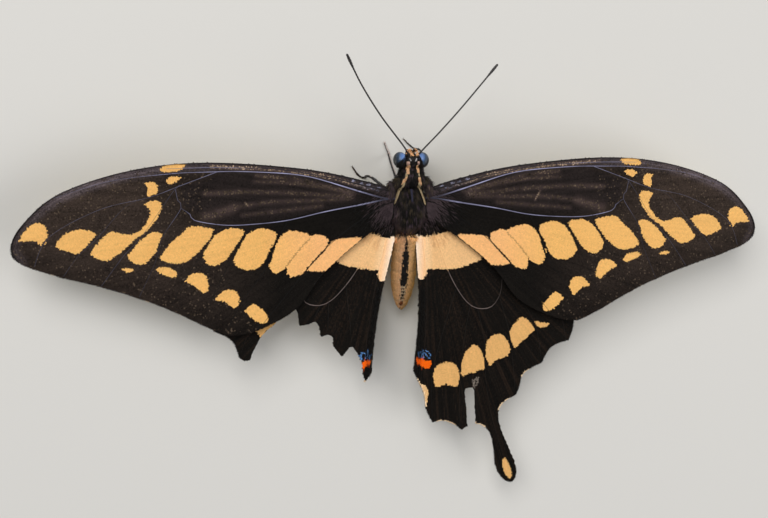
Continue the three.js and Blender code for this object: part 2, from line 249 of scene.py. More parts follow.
def within(points, outline):
    """Whether each point lies in a closed outline: an even number of its edges lies to one side if not."""
    odd = np.zeros(len(points), bool)
    for a, b in zip(outline, np.roll(outline, -1, axis=0)):
        if a[1] != b[1]:
            crosses = (a[1] > points[:, 1]) != (b[1] > points[:, 1])
            odd ^= crosses & (points[:, 0] < a[0] + (points[:, 1] - a[1]) * (b[0] - a[0]) / (b[1] - a[1]))
    return odd


def depth(points, outline):
    """Distance to a closed outline, negative inside it."""
    away = distance(points, [*outline, outline[0]])
    return np.where(within(points, outline), -away, away)


# %% [markdown]
# ## The wings as drawn
# Right and left wings are one drawing, mirrored, and each is turned a little about its root. A wing's edge is
# a few smooth runs that meet at corners. Main veins leave the root and fork toward the edge; the bright ones
# have a bluish grey shine.

# %% Wing drawings
WING_ROOT = np.array([3.0, -2.0])
FORWARD_TURN = {"forewing_left": 0.4, "forewing_right": -0.6, "hindwing_left": 10, "hindwing_right": 0}
CAMBER = 1.2
WING_REACH = 64
HINDWING_DROP = 1.35
TAIL_SAG = 0.0015
SAG_START = -10

FOREWING = {
    "edge": [
        [[2.4, 1.0], [8, 2.8], [18.5, 5.0], [34, 6.2], [46, 5.0], [56.6, 1.5], [62.2, -3.2], [64.1, -6.8],
         [63.0, -9.2], [57.6, -11.4], [50, -13.6], [41.5, -16.8], [33.5, -20.9], [30.2, -22.3]],
        [[30.2, -22.3], [26, -21.6], [19.3, -18.2], [14.6, -12.4], [8.2, -7.0], [2.4, -3.6]],
    ],
    "outer": [[64.1, -6.8], [57.6, -11.4], [50, -13.6], [41.5, -16.8], [33.5, -20.9], [30.2, -22.3]],
    "veins": [
        [[2, 0.6], [8, 2.0], [14, 3.5], [22.7, 5.0], [28, 5.25], [33.2, 5.4], [40, 5.3]],
        [[2, -0.4], [4.5, -0.2], [8.9, 1.1], [14, 2.75], [17, 3.6], [19.8, 4.1], [23, 4.4], [28.5, 4.7],
         [33.2, 4.7], [39.4, 4.5], [49, 3.4], [57.8, 0.7]],
        [[32, 4.7], [37.8, 2.6], [42.8, 0.8], [50.4, -1.0], [58.2, -5.2], [60.8, -10.3]],
        [[42.8, 0.8], [46.4, -0.6], [50.8, -5.4], [54, -8.4], [56.6, -12]],
        [[37.8, 2.6], [38.8, 1.9], [43.9, -5.2], [46.9, -8.4], [50.8, -13.6]],
        [[38.6, 2.0], [38.3, 0.3], [37.8, -1.0], [40.8, -5.6], [42, -9.5], [44.9, -15.6]],
        [[2, -0.3], [4.7, -0.5], [8.3, -1.15], [14.5, -2.15], [20.8, -3.4], [27, -3.9], [31.3, -3.85],
         [35.7, -3.0], [36.4, -2.0], [37.8, -1.0]],
        [[32.2, -3.7], [32.8, -5.4], [34.9, -8.8], [38.2, -13.8], [40, -17.8]],
        [[26.8, -3.9], [29, -7.6], [30.4, -10.4], [32.8, -15], [35, -20.2]],
        [[20.6, -3.4], [22.6, -6.8], [24.2, -10.9], [28.2, -16.4], [31.2, -21.8]],
        [[2, -0.8], [4.3, -1.2], [7.2, -3.0], [10.1, -4.8], [13.5, -7.4], [17.3, -11.3], [22.6, -17.6],
         [25.4, -21]],
    ],
    "shine": {0: ([4, 26, 32, 40], [0.0, 0.05, 0.5, 0.4]),
              1: ([5, 7.5, 13, 20, 28, 40, 44, 58], [0.1, 0.7, 0.9, 1, 0.6, 0.65, 0.35, 0.15]),
              2: ([32, 36, 46, 61], [0.55, 0.35, 0.2, 0.12]), 3: ([42, 45, 57], [0.15, 0.05, 0.12]),
              4: ([37, 40, 51], [0.25, 0.07, 0.14]), 5: ([37, 39, 40, 45], [0.35, 0.2, 0.05, 0.1]),
              6: ([5, 8, 16, 24, 34, 36, 37], [0.1, 0.7, 0.75, 0.6, 0.9, 0.6, 0.2])},
}
HINDWING = {
    "edge": [
        [[1.5, -1.0], [9, -2.6], [18, -7], [25, -13], [29.4, -19], [30, -23.5], [29.2, -26.4]],
        [[29.2, -26.4], [27.2, -27.0], [25.8, -27.8], [25.1, -28.8], [24.3, -30.4]],
        [[24.3, -30.4], [22.2, -31.4], [20.9, -32.5], [20.4, -34.6], [19.8, -36.1]],
        [[19.8, -36.1], [17.9, -37.2], [16.9, -38.6], [17.0, -41.0], [18.4, -44.6], [20.2, -48.6],
         [20.8, -51.2], [20.0, -52.9], [18.2, -52.0], [16.7, -49.4], [16.1, -45.6], [15.2, -42.7],
         [13.2, -41.2], [11.4, -41.4], [10.2, -42.1]],
        [[10.2, -42.1], [8.8, -41.0], [6.7, -40.2], [4.9, -40.4]],
        [[4.9, -40.4], [3.7, -38.0], [3.1, -34.8], [2.1, -32.6], [1.2, -30.6]],
        [[1.2, -30.6], [1.5, -27.8], [1.9, -22.0], [1.9, -16.5], [1.5, -11], [1.3, -7]],
    ],
    "outer": [[30, -23.5], [27.2, -27.0], [24.3, -30.4], [20.9, -32.5], [19.8, -36.1], [16.9, -38.6],
              [13.2, -41.2], [8.8, -41.0], [4.9, -40.4], [1.2, -30.6]],
    "veins": [
        [[2.2, -2.4], [9, -4.4], [17, -9], [24, -16], [27.4, -21.8], [28.6, -26.4]],
        [[9, -4.4], [12.6, -9.4], [17.6, -15.6], [22.4, -22.4], [24.2, -29.6]],
        [[16, -17.6], [18.0, -24], [19.0, -30], [19.6, -35.4]],
        [[12.3, -19.9], [13.7, -26], [14.2, -33], [15.7, -40.4], [19.0, -50.4]],
        [[11, -18.9], [10.0, -26], [9.5, -33], [9.8, -41.3]],
        [[8.6, -15.8], [6.2, -24], [4.5, -32], [4.8, -39.4]],
        [[2.4, -4.6], [4.8, -7.2], [5.9, -10.1], [7.1, -13.3], [8.6, -16.2], [10.4, -18.7], [12.3, -19.9],
         [14.8, -19.7], [16.3, -17.4], [16.6, -14.4]],
        [[2.6, -7.6], [3.3, -15], [3.2, -24], [2.5, -32.6]],
    ],
    "shine": {6: ([6.6, 7.6, 10, 14, 15.5, 17], [0.0, 0.4, 0.5, 0.5, 0.2, 0.05])},
}
LEFT_TEAR = [
    [-28.6, -26.9], [-27.0, -26.9], [-26.6, -25.6], [-25.2, -23.0], [-24.3, -21.9], [-22.6, -20.7],
    [-22.0, -17.4], [-19.8, -17.4], [-19.1, -19.2], [-18.8, -21.5], [-17.2, -21.2], [-16.1, -20.8],
    [-15.4, -21.8], [-15.2, -23.6], [-13.9, -23.2], [-13.0, -23.8], [-13.1, -25.2], [-11.5, -27.4],
    [-9.8, -25.4], [-8.8, -26.9], [-8.0, -28.5], [-7.8, -30.8], [-7.2, -32.4], [-7.2, -60], [-35, -60],
]
RIGHT_SPLIT = [
    [12.9, -43.5], [12.6, -40.4], [12.3, -37.4], [12.1, -34.3], [10.5, -34.5], [10.8, -37.3], [11.1, -39.8],
    [11.3, -41.6], [10.9, -43.5],
]


def from_root(points):
    return np.linalg.norm(points - WING_ROOT, axis=1)


def forewing_surface(x, y):
    return CAMBER * np.sin(np.pi * np.minimum(1, np.abs(x) / WING_REACH))


def hindwing_surface(x, y):
    return forewing_surface(x, y) - HINDWING_DROP - TAIL_SAG * np.maximum(0, SAG_START - y) ** 2


# %% [markdown]
# ## A wing that knows its own edge, veins and surface
# Everything on a wing is worked out on the drawing and then laid in place: mirrored for a left wing, turned
# about its root and lifted onto its gently arched surface. Between the veins the membrane sinks a little, as
# the pleats of a real wing do.

# %% Wings laid in place
EDGE_STEP = 0.5
PLEAT = 0.14
PLEAT_REACH = 1.1


class Wing:
    def __init__(self, name, form, surface, torn=None):
        self.name = name
        self.kind = name.split("_")[0]
        self.form = form
        self.side = -1 if name.endswith("left") else 1
        self.turn = math.radians(FORWARD_TURN[name])
        self.surface = surface
        self.edge = np.vstack([smooth_run(run, EDGE_STEP)[:-1] for run in form["edge"]])
        self.veins = [smooth_run(vein, 0.8) for vein in form["veins"]]
        self.torn = None if torn is None else self.drawn(np.array(torn, float))
        self.spots = []

    def laid(self, points):
        """From the drawing to the plan of the spread butterfly."""
        x, y = (points - WING_ROOT).T
        c, s = math.cos(self.turn), math.sin(self.turn)
        return columns(self.side * (WING_ROOT[0] + c * x - s * y), WING_ROOT[1] + s * x + c * y)

    def drawn(self, points):
        """From the plan of the spread butterfly back to the drawing."""
        x, y = (points * [self.side, 1] - WING_ROOT).T
        c, s = math.cos(self.turn), math.sin(self.turn)
        return columns(WING_ROOT[0] + c * x + s * y, WING_ROOT[1] - s * x + c * y)

    def beyond(self, points):
        """How far points of the drawing lie outside the wing, negative on it."""
        away = depth(points, self.edge)
        return away if self.torn is None else np.maximum(away, -depth(points, self.torn))

    def from_veins(self, points):
        return np.min([distance(points, vein) for vein in self.veins], axis=0)

    def lifted(self, points, pleated=True):
        """Points of the drawing on the middle of the membrane, in space."""
        x, y = self.laid(points).T
        z = self.surface(x, y)
        if pleated:
            z = z - PLEAT * (1 - np.exp(-(self.from_veins(points) / PLEAT_REACH) ** 2))
        return columns(x, y, z)

    def lie(self, points):
        """The way the scales point: away from the root, along the surface."""
        at = self.laid(points)
        away = unit(at - self.laid(WING_ROOT[None]), 0.1)
        rise = self.surface(*(at + 0.5 * away).T) - self.surface(*(at - 0.5 * away).T)
        return unit(np.column_stack([away, rise]))

    def unwrap(self, points):
        """Points of the drawing on the map that colours are baked to, which the flat wing nearly fills."""
        low = self.edge.min(axis=0)
        return 0.005 + 0.985 * (points - low) / (self.edge.max(axis=0) - low).max()


WINGS = [
    Wing("forewing_left", FOREWING, forewing_surface),
    Wing("forewing_right", FOREWING, forewing_surface),
    Wing("hindwing_left", HINDWING, hindwing_surface, LEFT_TEAR),
    Wing("hindwing_right", HINDWING, hindwing_surface, RIGHT_SPLIT),
]
print("wings:", ", ".join(f"{wing.name} {len(wing.edge)} edge points" for wing in WINGS))

# %% [markdown]
# ## The wings' markings
# On the real wings every colour is the colour of single scales. The upper side is a black brown with a band
# of yellow spots between the veins, a second row near the edge, and rows of scattered tan scales in the cell
# and along the front edge. The hindwings add a short band, large spots along the edge, and an orange mark
# under a dusting of blue at the inner corner. A spot's outline is only a guide: each scale is shaken a little
# along its lie before it is asked which side it is on, so spots end as raggedly as real ones. Dark veins cut
# through the forewing's spots, all but the hooked one.

# %% Spots of the upper side
FOREWING_SPOTS = [
    [[62.8, -5.8], [62.0, -4.4], [60.6, -3.1], [59.2, -3.1], [58.4, -4.0], [58.6, -5.8], [59.3, -6.6],
     [60.1, -5.9], [61.4, -5.8]],
    [[57.3, -6.6], [56.2, -5.1], [54.8, -4.3], [52.8, -4.1], [51.0, -4.9], [52.2, -6.3], [53.7, -7.8],
     [54.8, -7.8], [56.6, -7.2]],
    [[52.0, -7.9], [50.4, -5.8], [48.7, -4.5], [47.5, -4.8], [45.6, -5.1], [44.1, -4.3], [42.9, -2.7],
     [42.6, -1.2], [43.5, -0.3], [42.4, 0.2], [41.1, 0.2], [40.8, -1.0], [41.7, -2.7], [43.2, -4.5],
     [44.9, -5.7], [47.5, -8.0], [49.5, -9.2], [51.4, -8.6]],
    [[43.4, 3.1], [42.0, 3.3], [41.4, 2.6], [41.5, 1.4], [42.4, 0.8], [43.0, 1.1], [42.9, 2.4]],
    [[40.8, 5.3], [39.8, 5.9], [37.0, 5.9], [37.8, 5.0], [40.4, 4.8]],
    [[40.1, 3.5], [39.2, 4.1], [37.7, 3.9], [38.5, 3.2], [39.6, 2.7]],
    [[46.3, -8.4], [44.3, -6.1], [42.3, -4.8], [40.8, -5.0], [41.3, -6.5], [42.2, -8.4], [43.7, -9.8],
     [44.8, -9.9], [45.8, -9.4]],
    [[47.3, -10.6], [46.4, -11.1], [45.3, -10.9], [46.2, -10.4]],
    [[41.3, -9.0], [40.0, -7.1], [38.0, -5.3], [36.4, -4.0], [34.2, -4.1], [32.4, -4.7], [33.5, -6.2],
     [35.3, -8.3], [37.4, -9.8], [39.8, -9.8]],
    [[34.5, -8.5], [33.8, -7.1], [32.1, -5.2], [30.2, -4.4], [27.8, -4.9], [29.1, -7.2], [30.9, -9.6],
     [32.7, -10.5], [34.0, -9.9]],
    [[29.6, -9.5], [28.2, -6.8], [26.6, -5.0], [24.5, -4.6], [22.5, -5.6], [23.5, -7.9], [25.3, -10.9],
     [27.8, -11.3], [29.4, -10.3]],
    [[24.0, -10.0], [22.2, -6.5], [20.7, -5.1], [18.6, -5.4], [17.0, -6.1], [18.9, -8.6], [20.7, -10.9],
     [22.6, -12.1], [23.6, -11.5]],
    [[17.0, -6.1], [15.6, -5.9], [14.0, -6.6], [14.2, -7.8], [15.7, -9.4], [17.5, -11.3], [18.2, -12.2],
     [20.3, -12.8], [20.8, -11.2], [19.0, -8.6]],
    [[13.5, -7.3], [12.6, -6.8], [8.2, -6.7], [9.8, -8.4], [12.5, -10.7], [14.4, -12.0], [17.3, -11.9],
     [17.2, -11.3], [15.5, -9.6]],
    [[42.0, -10.9], [41.3, -10.4], [39.7, -10.6], [38.6, -11.6], [39.2, -12.2], [40.6, -11.8]],
    [[37.6, -12.7], [36.5, -11.8], [35.3, -11.5], [34.1, -12.1], [33.6, -14.0], [34.5, -15.0],
     [35.9, -13.7]],
    [[32.7, -16.1], [31.5, -14.7], [30.0, -14.5], [29.0, -15.1], [28.7, -17.0], [29.8, -17.6],
     [31.0, -16.5]],
    [[27.9, -18.1], [26.5, -17.0], [25.6, -17.6], [24.2, -18.9], [24.3, -20.2], [25.5, -20.2],
     [26.4, -19.7]],
]
HINDWING_SPOTS = [
    [[2.6, -7.3], [4.3, -6.9], [8.6, -6.6], [12.6, -9.6], [13.2, -11.0], [10.4, -12.3], [7.7, -12.8],
     [3.6, -12.8], [2.6, -12.9], [2.6, -10.0]],
    [[4.8, -32.5], [4.8, -31.0], [5.4, -29.8], [6.9, -29.3], [8.5, -29.7], [9.2, -30.8], [9.4, -32.5],
     [9.1, -33.8], [8.1, -33.7], [7.0, -33.4], [6.3, -33.6], [5.3, -33.8]],
    [[9.7, -31.7], [9.7, -29.9], [10.3, -27.8], [11.4, -26.6], [12.2, -26.5], [13.0, -27.1],
     [13.6, -28.5], [13.9, -30.4], [13.7, -31.0], [12.8, -31.0], [11.8, -31.6], [11.1, -31.5],
     [10.1, -32.1]],
    [[14.0, -28.5], [14.0, -26.5], [14.7, -25.2], [16.2, -24.6], [17.4, -25.2], [18.3, -26.9],
     [18.4, -28.1], [17.7, -28.7], [16.9, -29.3], [16.1, -29.3], [15.4, -30.0], [14.8, -30.4]],
    [[18.4, -25.6], [18.2, -24.1], [19.0, -22.9], [19.9, -22.0], [21.1, -22.0], [22.3, -23.4],
     [22.7, -24.3], [21.8, -25.1], [20.1, -26.6], [19.3, -27.4], [18.8, -26.7]],
    [[1.8, -32.5], [2.5, -33.1], [3.1, -33.2], [3.6, -33.6], [4.0, -34.7], [3.9, -35.9], [3.5, -37.1],
     [2.6, -36.4], [1.6, -34.0]],
    [[17.9, -48.4], [18.4, -47.9], [19.2, -49.3], [19.8, -50.8], [19.8, -52.2], [18.9, -51.5],
     [18.2, -50.1]],
    [[22.3, -22.0], [22.8, -22.6], [23.5, -22.9], [24.5, -23.0], [25.5, -23.3], [25.0, -23.7],
     [24.0, -23.9], [23.2, -23.6], [22.7, -22.8]],
]
PALE_STRIP = [[1.2, -6.8], [3.0, -7.2], [3.1, -10.8], [3.4, -13.4], [2.6, -14.6], [1.6, -14.2], [1.2, -10.5]]
ORANGE_MARK = [[1.7, -28.5], [2.6, -28.4], [3.3, -28.9], [4.3, -29.0], [4.4, -29.5], [4.0, -30.3],
               [3.4, -30.4], [2.6, -29.7], [1.9, -29.4]]
BLUE_DUST = [[1.8, -27.5], [2.8, -26.9], [3.8, -27.0], [4.5, -28.1], [4.3, -28.7], [3.1, -28.5], [2.0, -28.4]]
TORN_FIBRES = [[11.8, -32.7], [12.4, -32.5], [13.1, -32.2], [12.9, -33.1], [12.4, -34.6], [11.9, -33.8]]
FOLD = [[16.9, -6.4], [18.8, -8.3], [20.9, -10.9]]
TAN_ROWS = [
    ([[5.5, 1.0], [9.5, 2.2], [13.1, 3.3], [16.2, 3.95], [19.5, 4.35], [23.1, 4.85], [28.3, 5.25],
      [33, 5.55]], 0.26, 0.7, 1.4),
    ([[9.1, 0.7], [14, 2.0], [19.8, 3.3], [25.7, 4.0]], 0.3, 0.42, 0.4),
    ([[10, 0.7], [15.7, 2.0], [20.5, 2.7], [26, 3.0]], 0.26, 0.42, 0.42),
    ([[10, 0.2], [15, 0.6], [19.2, 1.0], [23, 1.2], [28, 1.4], [34, 1.2]], 0.32, 0.45, 0.42),
    ([[9.7, -0.2], [18, -0.3], [24, -0.4], [28, -0.9], [32, -1.7]], 0.3, 0.35, 0.34),
    ([[15, -1.2], [21, -1.8], [24, -2.0], [28, -2.4]], 0.28, 0.32, 0.3),
    ([[29.5, -1.2], [31.5, -1.9], [33.8, -2.4]], 0.6, 0.25, 0.45),
]
CELL_DABS = {"forewing_left": ([[27.5, -0.4], [27.0, -0.9]], 0.14, 0.9, 0.9),
             "forewing_right": ([[22.6, 0.7], [21.7, -1.0]], 0.12, 0.9, 0.9)}
LILAC_DABS = [(7.2, 2.0), (8.4, 2.3), (9.7, 2.75), (5.4, 1.5)]
SPOT_STEP = 0.7
OUTER_ROW = slice(14, 18)
RIGHT_ROW_SHIFT = [-0.4, 0]
SPOT_BY_TEAR = 4
TEAR_SPOT_SHIFT = [0.5, -0.4]
for wing in WINGS:
    spots = FOREWING_SPOTS if wing.form is FOREWING else HINDWING_SPOTS
    wing.spots = [smooth_run(spot + spot[:1], SPOT_STEP)[:-1] for spot in spots]
    if wing.name == "forewing_right":
        for spot in wing.spots[OUTER_ROW]:
            spot += RIGHT_ROW_SHIFT
    if wing.name == "hindwing_left":
        wing.spots[SPOT_BY_TEAR] += TEAR_SPOT_SHIFT
print("spots:", len(FOREWING_SPOTS), "on a forewing and", len(HINDWING_SPOTS), "on a hindwing")

# %% Paint of the upper side
VELVET_BLACK = linear("#110e0b")
HIND_BLACK = linear("#0f0c09")
HIND_BROWN = linear("#37281e")
APEX_BROWN = linear("#362c26")
CELL_BROWN = linear("#221c1b")
# painted sheen: the purple-grey sheen along the forewing's front edge, near the root and toward the tip
INNER_COSTA_SHEEN = linear("#342e2f")
OUTER_COSTA_SHEEN = linear("#544a4c")
WARM_YELLOW = linear("#ecb76b")
PEACH = linear("#f3b97a")
BAND_CREAM = linear("#ebbd85")
PALE_CREAM = linear("#f6d5ab")
HIND_YELLOW = linear("#dfad6b")
STRIP_WHITE = linear("#fde6cc")
STRIP_PEACH = linear("#f6c794")
TAN = linear("#ba9f86")
ROW_BROWN = linear("#5e4d49")
LILAC_WHITE = linear("#9a98ad")
FLAME = linear("#f0640a")
SKY_BLUE = linear("#5d8cc6")
BARE_FILM = linear("#7d7268")
ROW_GLOW = 0.6
SPOT_FRAY = 0.06
EDGED_VEINS = (2, 3, 4, 5, 7, 8, 9)
VEIN_EDGING = 0.18
HOOK_SPOT = 2
CREASE = 0.11
FOLD_SHADE = 0.6
STRAY_SHARE = 0.06
STRAY_FROM = 30
DUSTED_SHARE = 0.3
TORN_SHARE = 0.8
CELL = [[2, -0.3], [12.5, 2.2], [19.8, 4.1], [31, 4.7], [37.8, 2.6], [37.8, -1.0], [31.3, -3.85],
        [20.8, -3.4], [10.9, -1.6]]
CREAM_HOLLOWS = [[[6.0, -40.4], [8.8, -40.9]], [[12.7, -41.1], [14.0, -41.7]],
                 [[17.1, -38.3], [18.5, -36.9]], [[20.8, -32.4], [21.8, -31.8]],
                 [[2.0, -32.6], [3.2, -35.2], [3.5, -36.9]]]
HOLLOW_REACH = 0.5
HOLLOW_DEPTH = 0.22
FRONT_LINE = FOREWING["edge"][0][:9]
FRONT_EDGE = smooth_run(FRONT_LINE, 2.0)
OUTER_EDGE = smooth_run(FOREWING["outer"], 2.0)


def blend(a, b, share):
    share = np.clip(share, 0, 1)[:, None]
    return a * (1 - share) + b * share


def streaks(values, fineness, seed):
    """A smooth random number from -1 to 1 for each value, which changes about fineness times per unit."""
    table = np.random.default_rng(seed).uniform(-1, 1, 4096)
    return np.interp(np.abs(values) * fineness % 4095, np.arange(4096), table)


def forewing_ground(points):
    """The dark ground: velvety near the body, browner toward the tip, with a painted purple-grey sheen along
    the front edge, streaked along it.
    """
    x = points[:, 0]
    front = distance(points, FRONT_EDGE)
    paint = blend(VELVET_BLACK, APEX_BROWN, ramp(x, 22, 46))
    cell = depth(points, CELL)
    paint = blend(paint, CELL_BROWN, 0.8 * ramp(-cell, 0, 0.6) * ramp(x, 3, 9))
    # painted sheen: a purple-grey sheen along the front edge, brighter toward the tip and streaked along it
    costa_sheen = blend(INNER_COSTA_SHEEN, OUTER_COSTA_SHEEN, ramp(x, 30, 42)) * (1 + 0.45 * streaks(front, 7, 21))[:, None]
    paint = blend(paint, costa_sheen, 1.1 * np.exp(-(front / 1.35) ** 4) * (1 - 0.5 * ramp(x, 54, 62)))
    margin = distance(points, OUTER_EDGE)
    return paint * (np.where(front < 0.2, 0.35, 1) * (1 - 0.42 * np.exp(-(margin / 3.2) ** 2)))[:, None]


def dust_rows(wing, paint, points):
    """Lays the tan scales of the cell and the front edge, each row on a broad brown glow of its own. They are
    lilac near the root and tan farther out."""
    count = len(points)
    dust = blend(LILAC_WHITE * 0.7, TAN, ramp(points[:, 0], 6, 11))
    for number, (row, width, share, strength) in enumerate([*TAN_ROWS, CELL_DABS[wing.name]]):
        away = distance(points, smooth_run(row, 1.0))
        here = strength * (0.8 + 0.4 * streaks(points[:, 0], 0.9, 60 + number))
        paint[:] = blend(paint, ROW_BROWN, ROW_GLOW * np.sqrt(here) * np.exp(-(away / (1.3 * width)) ** 2))
        dusted = (away < width * (0.4 + 0.8 * RNG.random(count))) & (RNG.random(count) < share)
        paint[dusted] = (dust * (here * RNG.uniform(0.15, 0.7, count))[:, None])[dusted]
    for x, y in LILAC_DABS:
        dab = np.hypot((points[:, 0] - x) / 1.7, points[:, 1] - y) < 0.2
        paint[dab] = LILAC_WHITE * RNG.uniform(0.3, 0.9, (dab.sum(), 1))
    stray = (RNG.random(count) < STRAY_SHARE) & (from_root(points) > STRAY_FROM)
    paint[stray] = TAN * RNG.uniform(0.04, 0.22, (stray.sum(), 1))


def hindwing_marks(wing, paint, points, shaken, angle):
    """Lays the cream hollows, the pale strip, the orange mark with its blue dust and the torn fibres."""
    rim = wing.beyond(points) > -HOLLOW_DEPTH
    for hollow in CREAM_HOLLOWS:
        paint[rim & (distance(points, hollow) < HOLLOW_REACH)] = PALE_CREAM
    pale = within(shaken, PALE_STRIP)
    strip = blend(STRIP_WHITE, STRIP_PEACH, ramp(points[:, 0], 1.5, 2.8))
    paint[pale] = (strip * (1 + 0.06 * streaks(angle, 260, 6))[:, None])[pale]
    orange = within(shaken, ORANGE_MARK)
    paint[orange] = FLAME
    blue = within(shaken, BLUE_DUST) & (RNG.random(len(points)) < DUSTED_SHARE) & ~orange
    paint[blue] = SKY_BLUE * RNG.uniform(0.4, 1.1, (blue.sum(), 1))
    if wing.side > 0:
        torn = within(shaken, TORN_FIBRES) & (RNG.random(len(points)) < TORN_SHARE)
        paint[torn] = BARE_FILM * RNG.uniform(0.4, 1.1, (torn.sum(), 1))


def upper_paint(wing, points, fray=0.0):
    """The colour of the wing's upper side at points of the drawing."""
    count = len(points)
    away = unit(points - WING_ROOT, 0.1)
    angle = np.arctan2(away[:, 1], away[:, 0]) + np.pi
    shaken = points + away * RNG.normal(0, 1, (count, 1)) * fray
    shaken = shaken + away[:, ::-1] * [-1, 1] * RNG.normal(0, 0.3, (count, 1)) * fray
    if wing.form is FOREWING:
        paint = forewing_ground(points)
        yellow = blend(PEACH, WARM_YELLOW, ramp(points[:, 0], 15, 25))
    else:
        paint = blend(HIND_BLACK, HIND_BROWN, 0.3 * streaks(angle, 280, 11))
        yellow = blend(HIND_YELLOW, BAND_CREAM, ramp(points[:, 1], -16, -12))
        yellow = blend(yellow, PALE_CREAM, ramp(points[:, 0], 4.5, 1.5))
    cloud = streaks(points @ [0.8, 0.6], 0.6, 41) + streaks(points @ [-0.5, 0.9], 0.5, 42)
    cloud = cloud + 1.5 * streaks(angle, 75, 13)
    grain = 1 + 0.12 * cloud + 0.22 * streaks(angle, 320, 3) + (0.18 * RNG.normal(0, 1, count) if fray else 0)
    paint = paint * np.clip(grain, 0.35, 2.2)[:, None]
    if wing.form is FOREWING and fray:
        dust_rows(wing, paint, points)
    tint = 1 + 0.05 * streaks(angle, 200, 5) + (0.04 * RNG.normal(0, 1, count) if fray else 0)
    yellow = yellow * tint[:, None]
    edged = np.zeros(count, bool)
    if wing.form is FOREWING:
        for index in EDGED_VEINS:
            edged |= distance(points, wing.veins[index]) < VEIN_EDGING
    for number, spot in enumerate(wing.spots):
        mine = within(shaken, spot)
        if number != HOOK_SPOT:
            mine &= ~edged
        paint[mine] = yellow[mine]
    if wing.form is FOREWING:
        # painted shade along the crease between two inner spots of the forewing
        paint[distance(points, smooth_run(FOLD, 0.5)) < CREASE] *= FOLD_SHADE
    else:
        hindwing_marks(wing, paint, points, shaken, angle)
    return paint


# %% [markdown]
# ## Paint of the under side
# The under side of this swallowtail is mostly cream, as if the pattern were turned inside out: dark lines
# along the veins, a dark border with cream moons in it, and on the hindwing a curved row of blue moons
# edged with black, a rusty mark, and an orange one at the inner corner.

# %% Under side
CREAM = linear("#ead9a4")
SOOT = linear("#2a2018")
RUST = linear("#c2622c")
MOON_BLUE = linear("#6f93c4")
RUSTY_MARK = [[9, -24], [13, -22.5], [14, -24.5], [10.5, -26]]
VEIN_SOOT = 0.28
CELL_SOOT = 0.75
EDGE_SOOT = 0.6
BORDER = {"forewing": 5.0, "hindwing": 6.4}
CREAM_MOONS = (1.2, 3.2)
BLUE_MOONS = (4.4, 5.6)


def under_paint(wing, points, fray=0.0):
    count = len(points)
    margin = distance(points, smooth_run(wing.form["outer"], 1.0)) + RNG.normal(0, 0.12, count) * (fray > 0)
    vein = wing.from_veins(points) + RNG.normal(0, 0.06, count) * (fray > 0)
    angle = np.arctan2(*(points - WING_ROOT).T[::-1]) + np.pi
    paint = CREAM * (1 + 0.06 * streaks(angle, 240, 8))[:, None]
    between = vein > CELL_SOOT
    paint[vein < VEIN_SOOT] = SOOT
    paint[margin < BORDER[wing.kind]] = SOOT
    paint[(margin > CREAM_MOONS[0]) & (margin < CREAM_MOONS[1]) & between] = CREAM
    if wing.form is HINDWING:
        paint[(margin > BLUE_MOONS[0]) & (margin < BLUE_MOONS[1]) & between] = MOON_BLUE
        paint[within(points, RUSTY_MARK) & between] = RUST
        paint[within(points, ORANGE_MARK)] = FLAME
    paint[wing.beyond(points) > -EDGE_SOOT] = SOOT
    return paint * (1 + 0.08 * RNG.normal(0, 1, (count, 1)) * (fray > 0))


# %% [markdown]
# ## Wing membranes
# A butterfly's wing is a dry film stretched between veins, a few hundredths of a millimetre thick. Here it is
# a grid primitive cut to the wing's edge: faces wholly off the wing are deleted, and corners that stick out
# are pulled back onto the edge. Solidify then gives it both faces. The film carries the same paint as the
# scales, and shows only where they are thin.

# %% Membranes
GRID_STEP = 0.4
FRINGE_ROOM = 0.12
FILM = 0.12
PULLS = 3
NUDGE = 0.01

MEMBRANE_MATERIAL = painted_material("dry wing membrane", 0.55, specular=0.2, wrinkle=0.3, height=0.02)


def wing_membrane(wing):
    low = wing.edge.min(axis=0) - GRID_STEP
    high = wing.edge.max(axis=0) + GRID_STEP
    x_count, y_count = np.ceil((high - low) / GRID_STEP).astype(int)
    bpy.ops.mesh.primitive_grid_add(x_subdivisions=x_count, y_subdivisions=y_count, size=2)
    sheet = bpy.context.object

    def plan_of_grid():
        return (low + high) / 2 + vertices(sheet)[:, :2] * (high - low) / 2

    off_wing = wing.beyond(plan_of_grid()) + FRINGE_ROOM > 0
    corners = np.array([p.vertices for p in sheet.data.polygons])
    mode("EDIT")
    bpy.ops.mesh.select_mode(type="FACE")
    bpy.ops.mesh.select_all(action="DESELECT")
    mode("OBJECT")
    sheet.data.polygons.foreach_set("select", off_wing[corners].all(axis=1))
    mode("EDIT")
    bpy.ops.mesh.delete(type="FACE")
    mode("OBJECT")
    plan = plan_of_grid()
    for _ in range(PULLS):
        beyond = wing.beyond(plan) + FRINGE_ROOM
        out = beyond > 0
        slope = np.column_stack([wing.beyond(plan[out] + nudge) + FRINGE_ROOM - beyond[out]
                                 for nudge in ([NUDGE, 0], [0, NUDGE])]) / NUDGE
        plan[out] -= slope * beyond[out, None] / np.maximum((slope ** 2).sum(axis=1), 0.2)[:, None]
    put(sheet, wing.lifted(plan))
    apply_modifier(sheet, "SOLIDIFY", thickness=FILM * MM, offset=0)
    height = places(sheet)[:, 2].reshape(2, -1)
    faces = [under_paint(wing, plan), upper_paint(wing, plan)]
    set_paint(sheet, np.vstack(faces if height[0].mean() < height[1].mean() else faces[::-1]))
    sheet.name = f"{wing.name}_membrane"
    finish_piece(sheet, MEMBRANE_MATERIAL, "wing_scales", [wing.name])


for wing in WINGS:
    wing_membrane(wing)
